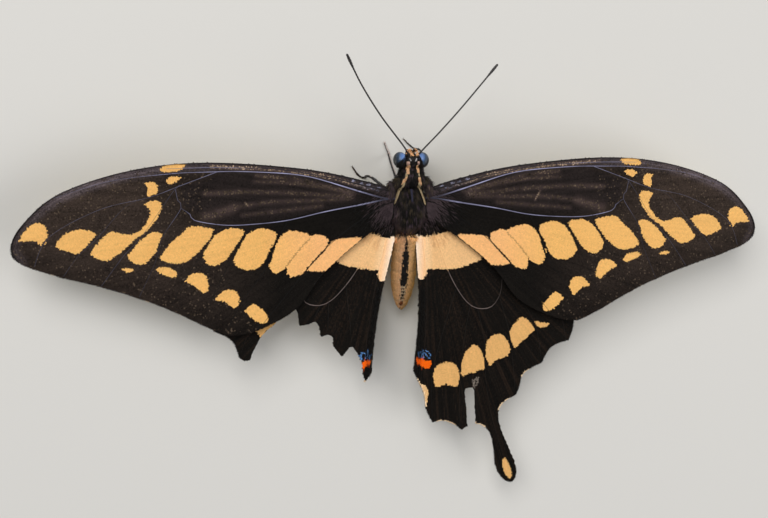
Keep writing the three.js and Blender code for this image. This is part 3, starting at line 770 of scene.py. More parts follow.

# %% [markdown]
# ## Veins
# Veins are hollow tubes that stiffen the wing, thick at the root and fine at the edge. Each is a curve with a
# round bevel whose radius shrinks along it. On the forewing they are a darker shade of the wing they cross;
# on the hindwing they are painted a little lighter than it, a painted highlight along their ridge. A few have
# a bluish grey shine that comes and goes. The front edge is a vein too.

# %% Vein tubes
VEIN_RADII = ([1, 12, 40], [0.18, 0.1, 0.06])
VEIN_RISE = 0.06
RIM_RADIUS = 0.13
# forewing veins are half as bright as the wing they cross, their own dark colour; hindwing veins are a tenth
# brighter, a painted highlight
VEIN_DARKENING_AND_HIGHLIGHT = {"forewing": 0.5, "hindwing": 1.1}
VEIN_SHINE = {"forewing": linear("#adabcc"), "hindwing": linear("#a3908a")}
VEIN_MATERIAL = painted_material("horny vein tube", 0.6, specular=0.12, wrinkle=0.2, height=0.01)


def tube(name, points, radii, sides=3):
    """A round tube through points in drawn millimetres, closed at both ends, as a mesh."""
    curve = bpy.data.curves.new(name, "CURVE")
    curve.dimensions = "3D"
    curve.bevel_depth = MM
    curve.bevel_resolution = sides
    curve.use_fill_caps = True
    spline = curve.splines.new("POLY")
    spline.points.add(len(points) - 1)
    spline.points.foreach_set("co", np.column_stack([to_frame(points), np.ones(len(points))]).ravel())
    spline.points.foreach_set("radius", np.asarray(radii, float))
    obj = new_object(name, curve)
    bpy.ops.object.select_all(action="DESELECT")
    obj.select_set(True)
    bpy.context.view_layer.objects.active = obj
    bpy.ops.object.convert(target="MESH")
    return obj


def join(objects, name):
    bpy.ops.object.select_all(action="DESELECT")
    for obj in objects:
        obj.select_set(True)
    bpy.context.view_layer.objects.active = objects[0]
    bpy.ops.object.join()
    objects[0].name = name
    bpy.ops.object.select_all(action="DESELECT")
    return objects[0]


def wing_veins(wing):
    tubes = []
    for index, vein in enumerate(wing.veins):
        line = vein[wing.beyond(vein) < -0.1]
        raised = wing.lifted(line, pleated=False) + [0, 0, VEIN_RISE]
        made = tube(f"vein_{index}", raised, np.interp(from_root(line), *VEIN_RADII), sides=1)
        plan = wing.drawn(places(made)[:, :2])
        # painted highlight on hindwing veins; forewing veins are darkened to their own dark colour
        paint = VEIN_DARKENING_AND_HIGHLIGHT[wing.kind] * upper_paint(wing, plan)
        if index in wing.form["shine"]:
            bright = np.interp(plan[:, 0], *wing.form["shine"][index])
            bright = bright * (0.8 + 0.3 * streaks(plan[:, 0], 0.9, 30 + index))
            paint = blend(paint, VEIN_SHINE[wing.kind], bright)
        set_paint(made, paint)
        tubes.append(made)
    if wing.form is FOREWING:
        line = smooth_run(FRONT_LINE, 0.8)
        line = line + RIM_RADIUS * unit(np.gradient(line, axis=0)[:, ::-1] * [1, -1])
        rim = tube("rim", wing.lifted(line, pleated=False), np.full(len(line), RIM_RADIUS), sides=2)
        set_paint(rim, 0.8 * upper_paint(wing, wing.drawn(places(rim)[:, :2])))
        tubes.append(rim)
    finish_piece(join(tubes, f"{wing.name}_veins"), VEIN_MATERIAL, "wing_scales")


for wing in WINGS:
    wing_veins(wing)

# %% [markdown]
# ## One scale, modelled once
# A wing scale is a tiny flattened bag, narrow at its stalk and broad at its tip. It starts as a cube: the end
# at the stalk is pinched to an edge, and the tip is lifted, so that it can lie over the next one.


# %% The scale
def grab(rule):
    """In edit mode, selects the active object's vertices whose place meets a rule."""
    bpy.ops.mesh.select_mode(type="VERT")
    bpy.ops.mesh.select_all(action="DESELECT")
    mode("OBJECT")
    for vertex in bpy.context.object.data.vertices:
        vertex.select = bool(rule(*vertex.co))
    mode("EDIT")


def as_arrays(obj):
    """A modelled object's points and triangles, after which the object is removed."""
    obj.data.calc_loop_triangles()
    points = vertices(obj)
    faces = np.array([t.vertices[:] for t in obj.data.loop_triangles])
    bpy.data.objects.remove(obj)
    return points, faces


bpy.ops.mesh.primitive_cube_add(size=1, location=(0, 0.5, 0.5))
bpy.ops.object.transform_apply(location=True)
mode("EDIT")
grab(lambda x, y, z: y < 0.5)
bpy.ops.transform.resize(value=(0.5, 1, 0.001), center_override=(0, 0, 0))
bpy.ops.mesh.remove_doubles(threshold=0.01)
grab(lambda x, y, z: y > 0.5)
bpy.ops.transform.resize(value=(1, 1, 0.35), center_override=(0, 1, 1))
mode("OBJECT")
SCALE = as_arrays(bpy.context.object)
print("a scale has", len(SCALE[1]), "triangles")

# %% [markdown]
# ## Laying the scales
# Scales grow in rows. Arcs about the wing's root, one pitch apart, give the courses, and every scale points
# away from the root and rests on the stalks of the next course. The copies are joined into a few meshes for
# each side of a wing. On the map that colours are baked to, each has a small patch at its own place on the
# flat wing.

# %% Wing scales
UPPER_PITCH = 0.2
UNDER_PITCH = 0.36
SCALE_LENGTH = 1.75
SCALE_WIDTH = 1.3
SCALE_LIFT = 0.06
ROOT_DEPTH = 0.005
ROOT_SHAKE = 0.1
LIE_SHAKE = 0.07
SIZES = (0.85, 1.15)
UP = np.array([0.0, 0.0, 1.0])
SHOWN_PART = 1.2
SHORTEST_SCALE = 0.45
HALF_SCALE = 0.12
ROW_REACH = (0.8, 66)
MOST_SCALES = 24000
PATCH = 0.003

WING_LOOK = painted_material("pigmented wing scales", 0.7, specular=0.06), "wing_scales"


def scatter(name, piece, roots, along, out, size, paint, spread, look, painted_shading=(0.85, 1.1), smooth=True):
    """Copies a piece to every root, its Y along the lie and its Z out of the skin, and joins the copies.
    size has each copy's width, length and height. spread has each root's place on the skin's own unwrap.
    look has the material and the slot. The two shading factors multiply a copy's paint, the first at its root
    and the second at its tip: painted shade at the root, which lies under its neighbours, and painted light at
    the tip."""
    local, faces = piece
    across = unit(np.cross(along, out))
    axes = np.stack([across, along, np.cross(across, along)], axis=1)
    points = (roots[:, None] + (local[None] * size[:, None]) @ axes).reshape(-1, 3)
    corners = (faces[None] + np.arange(len(roots))[:, None, None] * len(local)).reshape(-1, 3)
    # painted shade and light: each copy is darker at its root and lighter toward its tip
    tone = painted_shading[0] + (painted_shading[1] - painted_shading[0]) * local[:, 1]
    colours = (np.broadcast_to(paint, roots.shape)[:, None] * tone[None, :, None]).reshape(-1, 3)
    patches = (spread[:, None] + (local[:, :2] + [0.5, 0])[None] * PATCH).reshape(-1, 2)
    finish_piece(mesh_object(name, points, corners, colours, patches), *look, smooth=smooth)


def scale_roots(wing, pitch):
    arcs = []
    for row, radius in enumerate(np.arange(*ROW_REACH, pitch)):
        count = int(2 * np.pi * radius / pitch)
        angle = (np.arange(count) + 0.5 * (row % 2)) * 2 * np.pi / count
        arcs.append(WING_ROOT + radius * columns(np.cos(angle), np.sin(angle)))
    points = np.vstack(arcs)
    points = points[((points > wing.edge.min(axis=0)) & (points < wing.edge.max(axis=0))).all(axis=1)]
    points = points + RNG.normal(0, ROOT_SHAKE * pitch, points.shape)
    return points[wing.beyond(points) < -FRINGE_ROOM]


def kept_length(wing, plan, heading, length):
    """The share of its length that each scale keeps, so that no corner passes the wing's edge."""
    start = wing.beyond(plan) + HALF_SCALE
    end = wing.beyond(plan + heading * length) + HALF_SCALE
    return np.clip(np.where(end > 0, -start / np.maximum(end - start, 1e-6), 1), 0, 1)


def lay_scales(wing, side, pitch, paint_of):
    plan = scale_roots(wing, pitch)
    heading = unit(plan - WING_ROOT)
    share = kept_length(wing, plan, heading, SCALE_LENGTH * pitch)
    kept = share > SHORTEST_SCALE
    if wing.form is FOREWING:
        kept &= distance(plan, FRONT_EDGE) > 2 * RIM_RADIUS
    plan, heading, share = plan[kept], heading[kept], share[kept]
    along = unit(wing.lie(plan) + RNG.normal(0, LIE_SHAKE, (len(plan), 3)) * [1, 1, 0])
    out = UP if side == "upper" else -UP
    roots = wing.lifted(plan) + out * (FILM / 2 - ROOT_DEPTH)
    size = pitch * np.array([SCALE_WIDTH, SCALE_LENGTH, 0]) + [0, 0, SCALE_LIFT]
    size = size * RNG.uniform(*SIZES, (len(plan), 3))
    size[:, 1] *= share
    paint = paint_of(wing, plan + heading * SHOWN_PART * pitch * share[:, None], SPOT_FRAY)
    spread = wing.unwrap(plan)
    outward = np.argsort(from_root(plan))
    for number, mine in enumerate(np.array_split(outward, math.ceil(len(plan) / MOST_SCALES)), 1):
        scatter(f"{wing.name}_{side}_scales_{number}", SCALE, roots[mine], along[mine], out, size[mine],
                paint[mine], spread[mine], WING_LOOK, smooth=False)


for wing in WINGS:
    lay_scales(wing, "upper", UPPER_PITCH, upper_paint)
    lay_scales(wing, "under", UNDER_PITCH, under_paint)

# %% [markdown]
# ## A tuft, modelled once
# Butterfly hair is long, thin scales. A tuft starts as a three sided cone laid along Y, is cut across with
# bisect, and its middle is lifted, so that it leaves the skin, bends and lies down.

# %% The tuft
bpy.ops.mesh.primitive_cone_add(vertices=3, radius1=0.5, radius2=0, depth=1, rotation=(-math.pi / 2, 0, 0),
                                location=(0, 0.5, 0))
bpy.ops.object.transform_apply(location=True, rotation=True)
mode("EDIT")
bpy.ops.mesh.select_all(action="SELECT")
bpy.ops.mesh.bisect(plane_co=(0, 0.45, 0), plane_no=(0, 1, 0))
grab(lambda x, y, z: 0.4 < y < 0.5)
bpy.ops.transform.resize(value=(1.45, 1, 1.3), center_override=(0, 0.45, 0))
bpy.ops.transform.translate(value=(0, 0, 0.55))
mode("OBJECT")
TUFT = as_arrays(bpy.context.object)
print("a tuft has", len(TUFT[1]), "triangles")

# %% [markdown]
# ## Fringe
# Along the outer and inner edges the last scales are long and narrow, and stand out past the membrane as a
# fringe. It is as dark as the wing, with slivers of cream in the hollows of the scalloped hindwing and three
# flecks of it on the left forewing.

# %% Wing fringe
FRINGE_STEP = 0.07
FRINGE_ROOT = 0.38
BARE_ROOT = 6
MOST_FORWARD = 0.25
ON_RIM = 0.05
FRINGE_TUFT = np.array([0.14, 0.5, 0.05])
CREAM_FLECKS = [[57.9, -11.1], [43.4, -15.7], [38.1, -18.1]]


def wing_fringe(wing):
    rim = np.vstack([wing.edge, wing.edge[:1]])
    marks = travelled(rim)
    at = np.arange(0, marks[-1], FRINGE_STEP)
    plan = on_line(at, marks, rim)
    out = unit((on_line(at + 0.3, marks, rim) - plan)[:, ::-1] * [-1, 1])
    out *= np.where(wing.beyond(plan + 0.1 * out) > wing.beyond(plan - 0.1 * out), 1, -1)[:, None]
    kept = (np.abs(wing.beyond(plan)) < ON_RIM) & (out[:, 1] < MOST_FORWARD)
    kept &= from_root(plan) > BARE_ROOT
    plan, out = plan[kept], out[kept]
    roots = wing.lifted(plan - out * FRINGE_ROOT)
    along = wing.lifted(plan - out * FRINGE_ROOT + 0.2 * out) - roots
    along = unit(along + RNG.normal(0, 0.015, roots.shape))
    paint = forewing_ground(plan) if wing.form is FOREWING else VELVET_BLACK
    paint = paint * RNG.uniform(0.5, 1.5, (len(plan), 1))
    if wing.form is HINDWING:
        for hollow in CREAM_HOLLOWS:
            paint[distance(plan, hollow) < HOLLOW_REACH] = PALE_CREAM
    if wing.name == "forewing_left":
        for fleck in CREAM_FLECKS:
            paint[np.hypot(*(plan - fleck).T) < 0.4] = PALE_CREAM
    size = FRINGE_TUFT * RNG.uniform(0.8, 1.15, (len(plan), 3))
    scatter(f"{wing.name}_fringe", TUFT, roots, along, UP, size, paint, wing.unwrap(plan), WING_LOOK)


for wing in WINGS:
    wing_fringe(wing)

# %% [markdown]
# ## Body skin
# Under the hair the body is a chain of soft, oval segments: abdomen, thorax, the narrow prothorax and the
# head. Each starts as a sphere whose rings are carried onto the segment's own profile, a coat's depth inside
# the solid. With balls for the shoulders they are joined and remeshed, so that one skin runs from the face to
# the tail.

# %% Body segments
COAT = {"thorax": 0.42, "prothorax": 0.3, "head": 0.25, "abdomen": 0.0}
SEGMENTS = {
    "thorax": {"rear": -7.2, "front": 3.0, "width": 6.8, "depth": 6.6, "lean": (0, -1.9, 0), "round": 0.55,
               "square": 2.5},
    "prothorax": {"rear": 1.2, "front": 5.6, "width": 4.9, "depth": 3.8, "lean": (0.35, -0.7, 0),
                  "round": 0.4, "square": 2},
    "head": {"rear": 4.6, "front": 7.4, "width": 3.6, "depth": 3.2, "lean": (0.3, 0.1, 0), "round": 0.45,
             "square": 2},
    "abdomen": {"rear": -20.5, "front": -5.8, "width": 4.25, "depth": 4.2, "lean": (0, -2.7, 0.24),
                "round": None, "square": 2},
}
ABDOMEN_RINGS = 8
ABDOMEN_WIDEST = 0.5
SHOULDER_BALLS = [([0.85, 1.9, 0.85], [3.25, 1.0, -0.05]), ([0.85, 1.9, 0.85], [-3.25, 1.0, -0.05]),
                  ([1.3, 1.2, 1.1], [2.35, 2.3, -0.3]), ([1.3, 1.2, 1.1], [-1.65, 2.3, -0.3])]


def profile(t, power):
    """The half width of a segment, from 0 to 1, along its length from rear to front."""
    if power is not None:
        return np.sin(np.pi * np.clip(t, 0.002, 0.998)) ** power
    swell = np.sin(np.pi / 2 * np.minimum(1, t / ABDOMEN_WIDEST)) ** 0.54
    groove = 1 - 0.03 * np.abs(np.cos(np.pi * ABDOMEN_RINGS * t)) ** 12
    return swell * groove * np.minimum(1, 3 * np.sqrt(1 - t))


def middle_height(spec, y):
    """The height of a segment's middle line, which slopes from the rear end of the thorax."""
    _, height, slope = spec["lean"]
    return height + slope * np.minimum(0, y - SEGMENTS["thorax"]["rear"])


def segment_places(spec, t, angle, inset):
    """Places on a segment from how far along it they are, rear to front, and the angle round it."""
    y = spec["rear"] + inset + (spec["front"] - spec["rear"] - 2 * inset) * t
    x, z = spec["lean"][0], middle_height(spec, y)
    square = spec["square"]
    full = (np.abs(np.cos(angle)) ** square + np.abs(np.sin(angle)) ** square) ** (-1 / square)
    half = profile(t, spec["round"]) * full
    return columns(x + half * (spec["width"] / 2 - inset) * np.cos(angle), y,
                   z + half * (spec["depth"] / 2 - inset) * np.sin(angle))


def ball(segments, rings, tilt, reshape):
    """A sphere whose vertices are carried to the places that reshape gives them."""
    bpy.ops.mesh.primitive_uv_sphere_add(segments=segments, ring_count=rings, rotation=(tilt, 0, 0))
    bpy.ops.object.transform_apply(rotation=True)
    made = bpy.context.object
    put(made, reshape(vertices(made)))
    return made


def body_segment(name):
    def on_segment(co):
        t = np.clip((co[:, 1] + 1) / 2, 0, 1)
        return segment_places(SEGMENTS[name], t, np.arctan2(co[:, 2], co[:, 0]), COAT[name])

    return ball(48, 96 if name == "abdomen" else 40, -math.pi / 2, on_segment)


def shoulder(radius, place):
    return ball(24, 16, 0, lambda co: co * (np.array(radius) - 0.6 * COAT["thorax"]) + place)


balls = [body_segment(name) for name in SEGMENTS] + [shoulder(*place) for place in SHOULDER_BALLS]
skin = join(balls, "body_skin")
bpy.context.view_layer.objects.active = skin
apply_modifier(skin, "REMESH", mode="VOXEL", voxel_size=0.15 * MM)
apply_modifier(skin, "SMOOTH", factor=0.5, iterations=5)
print("skin:", len(skin.data.vertices), "points")

# %% [markdown]
# ## Body colours
# The thorax and head are black in the middle and a mauve brown at the sides, partly the hair's own colour and
# partly a painted purplish sheen. Two chains of cream marks run over the head and neck and go on down the
# thorax as fine lines, with a bluish streak between them. The abdomen is tan, rosier on one side and more
# golden on the other, with fine cross lines, and has a ragged black stripe down the middle of its back that
# breaks up into dots toward the tip.

# %% Body paint
BODY_BLACK = linear("#1b1714")
MAUVE_AND_SHEEN = linear("#554649")
REAR_BROWN = linear("#584236")
OLIVE_TAN = linear("#63553f")
MAUVE_GLINT = linear("#7d6674")
STRIPE_CREAM = linear("#f0c090")
PINK_CREAM = linear("#e0b8a4")
LINE_OLIVE = linear("#c2ab84")
SLIVER_WHITE = linear("#cdc6c4")
FACE_ORANGE = linear("#f6c08a")
BACK_STREAK = linear("#3b3a4b")
ABDOMEN_PINK = linear("#dcaa80")
ABDOMEN_TAN = linear("#d3a066")
ABDOMEN_ROSE = linear("#dfae7c")
ABDOMEN_OCHRE = linear("#d2a256")
END_SPOT = linear("#7a4528")
ABDOMEN_START = -7.0
BELLY_TOP = -4.2
STRIPE_PLACE = -0.3
DASH_PITCH = 0.62
STRIPE_WIDTHS = ([-18.7, -18.4, -17.2, -16.3, -15.8, -15.4, -12, -9.7, -9.3, -7.4, -6.6],
                 [0, 0.3, 0.38, 0.45, 0.5, 0.6, 0.66, 0.56, 0.2, 0.16, 0.1])


def abdomen_paint(points, fray):
    x, y, z = points.T
    abdomen = SEGMENTS["abdomen"]
    middle = middle_height(abdomen, y)
    aside = x - STRIPE_PLACE
    side = np.abs(np.arctan2(aside, z - middle)) / 1.2
    left = blend(ABDOMEN_PINK, ABDOMEN_TAN, side)
    right = blend(ABDOMEN_ROSE, ABDOMEN_OCHRE, side)
    paint = np.where(aside[:, None] < 0, left, right)
    from_tip = y - abdomen["rear"]
    length = abdomen["front"] - abdomen["rear"]
    ring = np.abs((from_tip / length * ABDOMEN_RINGS + 0.5) % 1 - 0.5)
    fine = 0.12 * streaks(y - 0.5 * np.abs(aside), 5, 9) + 0.07 * streaks(aside, 8, 19)
    paint = paint * (1 - 0.1 * np.exp(-(ring / 0.06) ** 2) + fine)[:, None]
    paint = blend(paint, PALE_CREAM, 0.25 * ramp(np.abs(ring - 0.12), 0.05, 0) * (np.abs(x) > 0.9))
    width = np.interp(y, *STRIPE_WIDTHS) * (0.9 + 0.14 * streaks(y, 3, 29)) * np.where(ring < 0.07, 0.8, 1)
    on_back = z > middle
    paint[(np.abs(aside) + RNG.normal(0, 0.12, len(x)) * fray < width) & on_back] = BODY_BLACK
    dash = (from_tip / DASH_PITCH % 1 < 0.4) & (y < -15.9) & (y > -18.6)
    paint[dash & (np.abs(aside) < 0.36) & on_back] = PALE_CREAM * 0.6
    paint[(np.hypot(aside, y + 19.2) < 0.34) & on_back] = END_SPOT
    return paint


def flank_share(x, y):
    """How far each place belongs to the long haired flank rather than the back, from 0 to 1."""
    back = np.interp(y, [-6, -2, -1.3, 2], [1.2, 1.8, 2.7, 1.9])
    return ramp(np.abs(x - 0.1), back, back + 0.8) * ramp(y, 2.4, 0.2)


def body_paint(points, fray=1.0):
    x, y, z = points.T
    count = len(points)
    # partly painted sheen: the long flank hair is blended toward a mauve brown
    paint = blend(BODY_BLACK, MAUVE_AND_SHEEN, flank_share(x, y) * RNG.uniform(0.4, 1, count))
    paint = blend(paint, REAR_BROWN, np.clip((-5.0 - y) / 1.2, 0, 0.8) * RNG.random(count))
    shoulder_hair = (np.abs(x) > 1.9) & (y > -0.5) & (y < 3.6) & (RNG.random(count) < 0.12)
    paint[shoulder_hair] = OLIVE_TAN * 0.8
    belly = (z < BELLY_TOP) & (y > ABDOMEN_START)
    paint[belly] = blend(paint[belly], STRIPE_CREAM * 0.7, 0.5 * RNG.random(belly.sum()))
    rear = y < ABDOMEN_START + 0.3 * RNG.normal(0, 1, count) * fray
    paint[rear] = abdomen_paint(points[rear], fray)
    return paint


SKIN_MATERIAL = painted_material("soft body cuticle", 0.6, specular=0.3, wrinkle=0.12, height=0.02)
set_paint(skin, body_paint(places(skin), fray=0.0))
finish_piece(skin, SKIN_MATERIAL, "body_hair", ["head", "prothorax", "thorax", "abdomen"])

# %% [markdown]
# ## Body hair
# Thorax, neck and head are furred. Roots are drawn at random over the skin's faces, so that the fur covers
# every side alike; each tuft leans back along the body, stands out a little, and is shortest on the face.
# Real hair gathers in small locks, so each tuft is also drawn a little toward the nearest of some hundreds of
# lock centres. Beside the wing roots the hair is long and lies out over the wings. Cream marks lie on the
# fur: each is a line with a half width and a height above the skin, and no dark tuft crosses it.

# %% Fur
FUR_COUNT = 17000
FUR_END = -7.3
HAIR_LENGTH = 1.1
NECK_SHORTER = 0.4
FACE_SHORTER = 0.3
FLANK_LONGER = 0.55
NECK_SPAN = (2.2, 3.4)
FACE_SPAN = (4.6, 6.1)
LOCKS = 1500
LOCK_PULL = 0.45
LOCK_TONE = (0.2, 0.45)
GLINT_SHARE = 0.3
HAIR_SHOWN = 0.5
FUR = painted_material("butterfly fur", 0.6, specular=0.22)
FUR_LOOK = FUR, "body_hair"

MARKS = [
    (STRIPE_CREAM, 0.2, 0.34, [[-0.48, 5.1], [-0.54, 3.85]]),
    (STRIPE_CREAM, 0.15, 0.34, [[-0.78, 3.25], [-1.0, 2.6]]),
    (STRIPE_CREAM, 0.25, 0.34, [[-1.0, 2.75], [-1.3, 2.1]]),
    (STRIPE_CREAM, 0.18, 0.34, [[1.06, 5.05], [1.14, 4.0]]),
    (STRIPE_CREAM, 0.2, 0.34, [[1.33, 3.05], [1.62, 1.95]]),
    (PINK_CREAM, 0.22, 0.34, [[-0.62, 5.7], [-0.64, 5.35]]),
    (PINK_CREAM, 0.2, 0.34, [[1.08, 5.7], [1.12, 5.35]]),
    (LINE_OLIVE, 0.14, 0.3, [[-0.72, 3.75], [-0.8, 3.3]]),
    (LINE_OLIVE, 0.08, 0.3, [[1.25, 3.75], [1.28, 3.45]]),
    (SLIVER_WHITE * 0.7, 0.05, 0.3, [[-0.42, 6.22], [-0.32, 6.02]]),
    (SLIVER_WHITE, 0.07, 0.3, [[0.74, 6.25], [0.62, 5.98]]),
    (FACE_ORANGE, 0.19, 0.4, [[-0.12, 6.9], [0.02, 6.5]]),
    (FACE_ORANGE, 0.19, 0.4, [[0.88, 6.9], [0.78, 6.5]]),
    (FACE_ORANGE, 0.17, 0.5, [[-0.14, 7.15], [-0.1, 6.8]]),
    (FACE_ORANGE, 0.17, 0.5, [[0.9, 7.15], [0.86, 6.8]]),
    (LINE_OLIVE, 0.14, 0.6, [[-1.15, 2.2], [-1.85, 0.6], [-2.6, -1.1]]),
    (LINE_OLIVE, 0.13, 0.6, [[1.3, 2.1], [1.85, 0.4], [2.45, -1.4]]),
    (BACK_STREAK, 0.13, 0.34, [[0.15, 1.0], [0.15, -0.7]]),
]
MARK_CLEARANCE = 0.15
FACE_START = 6.4

skin_faces = np.array([p.vertices[:] for p in skin.data.polygons])
skin_points = places(skin)
face_middle = skin_points[skin_faces].mean(axis=1)
face_out = np.array([p.normal[:] for p in skin.data.polygons])
print("faces to grow on:", len(skin_faces))


def skin_unwrap(points):
    """Each place on the body's own unwrap: the way round it, and the way along it."""
    x, y, z = points.T
    middle = -1.5 + 0.2 * np.minimum(0, y + 3)
    around = np.arctan2(x, z - middle) / (2 * np.pi) + 0.5
    return 0.003 + 0.99 * columns(around, (y + 21) / 29)


def laid_down(out, lie, lift):
    """The way that hair points: its lie along the skin, raised from it by an angle."""
    flat = unit(lie - (lie * out).sum(axis=1, keepdims=True) * out, 1e-3)
    along = flat * np.cos(lift)[:, None] + out * np.sin(lift)[:, None]
    return unit(along + RNG.normal(0, 0.1, along.shape))


def crossing_marks(roots, reach):
    """Whether tufts from these roots pass over a mark, looked at from above."""
    crossing = np.zeros(len(roots), bool)
    for _, half_width, _, line in MARKS[:-1]:
        for share in (0.1, 0.4, 0.7, 1.0):
            plan = (roots + share * reach)[:, :2]
            crossing |= distance(plan, line) < half_width + MARK_CLEARANCE
    return crossing & (roots[:, 2] > -1.5)


def body_hair():
    furry = np.flatnonzero(face_middle[:, 1] > FUR_END)
    chosen = RNG.permutation(furry)[:FUR_COUNT]
    count = len(chosen)
    middle, out = face_middle[chosen], face_out[chosen]
    x, y, z = middle.T
    face = ramp(y, *FACE_SPAN)
    neck = ramp(y, *NECK_SPAN)
    flank = flank_share(x, y) * (z > -3) * (1 - neck)
    longer = FLANK_LONGER * flank * ramp(y, 0.9, -0.6)
    length = HAIR_LENGTH - NECK_SHORTER * neck - FACE_SHORTER * face + longer
    length = length * RNG.uniform(0.65, 1.25, count)
    centres = KDTree(LOCKS)
    for number, place in enumerate(face_middle[RNG.permutation(furry)[:LOCKS]]):
        centres.insert(place, number)
    centres.balance()
    nearest = [centres.find(place) for place in middle]
    to_lock = np.array([place for place, _, _ in nearest]) - middle
    lock = [number for _, number, _ in nearest]
    tone = np.exp(RNG.normal(*LOCK_TONE, LOCKS))[lock]
    glint = (RNG.uniform(0.25, 0.9, LOCKS) * (RNG.random(LOCKS) < GLINT_SHARE))[lock]
    hue = np.where((RNG.random(LOCKS) < 0.5)[:, None], OLIVE_TAN, MAUVE_GLINT)[lock]
    lie = columns(0.25 * np.sign(x) * (0.25 + 1.4 * flank), -1.0, -0.1)
    lie += LOCK_PULL * to_lock / length[:, None]
    along = laid_down(out, lie, RNG.uniform(0.1, 0.42, count) * (1 - 0.4 * flank))
    roots = middle + RNG.normal(0, 0.05, middle.shape) - out * 0.06
    size = columns(0.1 - 0.03 * face - 0.02 * flank, length, 0.1)
    paint = body_paint(roots + HAIR_SHOWN * length[:, None] * along) * tone[:, None]
    paint = paint + (hue - paint) * (glint * (y > ABDOMEN_START) * (z > -2))[:, None] * 0.55
    kept = ~crossing_marks(roots, length[:, None] * along)
    scatter("body_fur", TUFT, roots[kept], along[kept], out[kept], size[kept], paint[kept],
            skin_unwrap(roots[kept]), FUR_LOOK, painted_shading=(0.65, 1.2))


body_hair()

# %% [markdown]
# ## Cream marks
# The marks on head, neck and thorax are short pale tufts set along their lines. A ray cast down on the skin
# finds the roots.

# %% Cream marks
MARK_TUFT = np.array([0.09, 0.42, 0.06])
MARK_STEP = 0.012


def cream_marks():
    plan, paint, rise, lie = [], [], [], []
    for colour, half_width, above, line in MARKS:
        run = smooth_run(line, MARK_STEP / max(half_width / 0.1, 1))
        plan.append(run + RNG.uniform(-1, 1, (len(run), 1)) * [half_width, 0])
        paint.append(colour * RNG.uniform(0.75, 1.15, (len(run), 1)))
        rise.append(np.full((len(run), 1), above))
        lie.append(np.column_stack([np.gradient(run, axis=0), np.zeros(len(run))]))
    plan, paint, rise, lie = (np.vstack(part) for part in (plan, paint, rise, lie))
    starts = to_frame(np.column_stack([plan + [0, 0.5 * MARK_TUFT[1]], np.full(len(plan), 5.0)]))
    hits = [skin.ray_cast(start, (0, 0, -1)) for start in starts]
    on_skin = np.array([hit[0] for hit in hits])
    place, out = (np.array([hit[index][:] for hit in hits])[on_skin] for index in (1, 2))
    outward = np.where(plan[on_skin, 1:] > FACE_START, out, [0, 0, 1])
    roots = place / MM - SHIFT + rise[on_skin] * outward
    along = laid_down(out, unit(lie[on_skin]), RNG.uniform(0.05, 0.25, len(roots)))
    size = MARK_TUFT * RNG.uniform(0.8, 1.2, (len(roots), 3))
    # painted light: the cream mark tufts are painted up to a quarter brighter toward their tips
    scatter("cream_marks", TUFT, roots, along, out, size, paint[on_skin], skin_unwrap(roots), FUR_LOOK,
            painted_shading=(0.95, 1.25))


cream_marks()

# %% [markdown]
# ## Abdomen scales
# The abdomen looks smooth, but it too is shingled, with flat scales that point to the tip. The wing's scale
# is used again, laid close over its skin.

# %% Abdomen scales
ABDOMEN_SCALES = 12000
SCALES_FROM = -6.8
ABDOMEN_SCALE = np.array([0.16, 0.36, 0.05])
ABDOMEN_LOOK = painted_material("abdomen scales", 0.55, specular=0.15), "abdomen_scales"


def abdomen_scales():
    chosen = RNG.permutation(np.flatnonzero(face_middle[:, 1] < SCALES_FROM))[:ABDOMEN_SCALES]
    count = len(chosen)
    out = face_out[chosen]
    roots = face_middle[chosen] + RNG.normal(0, 0.05, (count, 3)) - out * 0.03
    along = laid_down(out, [0.0, -1.0, -0.2], RNG.uniform(0.0, 0.08, count))
    size = ABDOMEN_SCALE * RNG.uniform(0.8, 1.2, (count, 3))
    paint = body_paint(roots + 0.7 * size[:, 1:2] * along) * RNG.uniform(0.88, 1.12, (count, 1))
    scatter("abdomen_scales", SCALE, roots, along, out, size, paint, skin_unwrap(roots), ABDOMEN_LOOK,
            painted_shading=(0.8, 1.1))


abdomen_scales()

# %% [markdown]
# ## Hair on the wing bases
# The inner few millimetres of all wings are furred, and hair runs down the hindwings' inner edge beside the
# abdomen, except on the pale strip. All of it points away from the neck. Several places are tried for each
# hair, and those on the wing are kept until there are enough.

# %% Wing base hair
BASE_HAIRS = 1500
TRIES = 6
BASE_HAIR_LENGTH = 1.2
BROWN_BASE = (2.0, 5.5)
BASE_REACH = 6.8
BARE_MARGIN = 0.7
HAIR_SOURCE = (-1.0, 4.0)


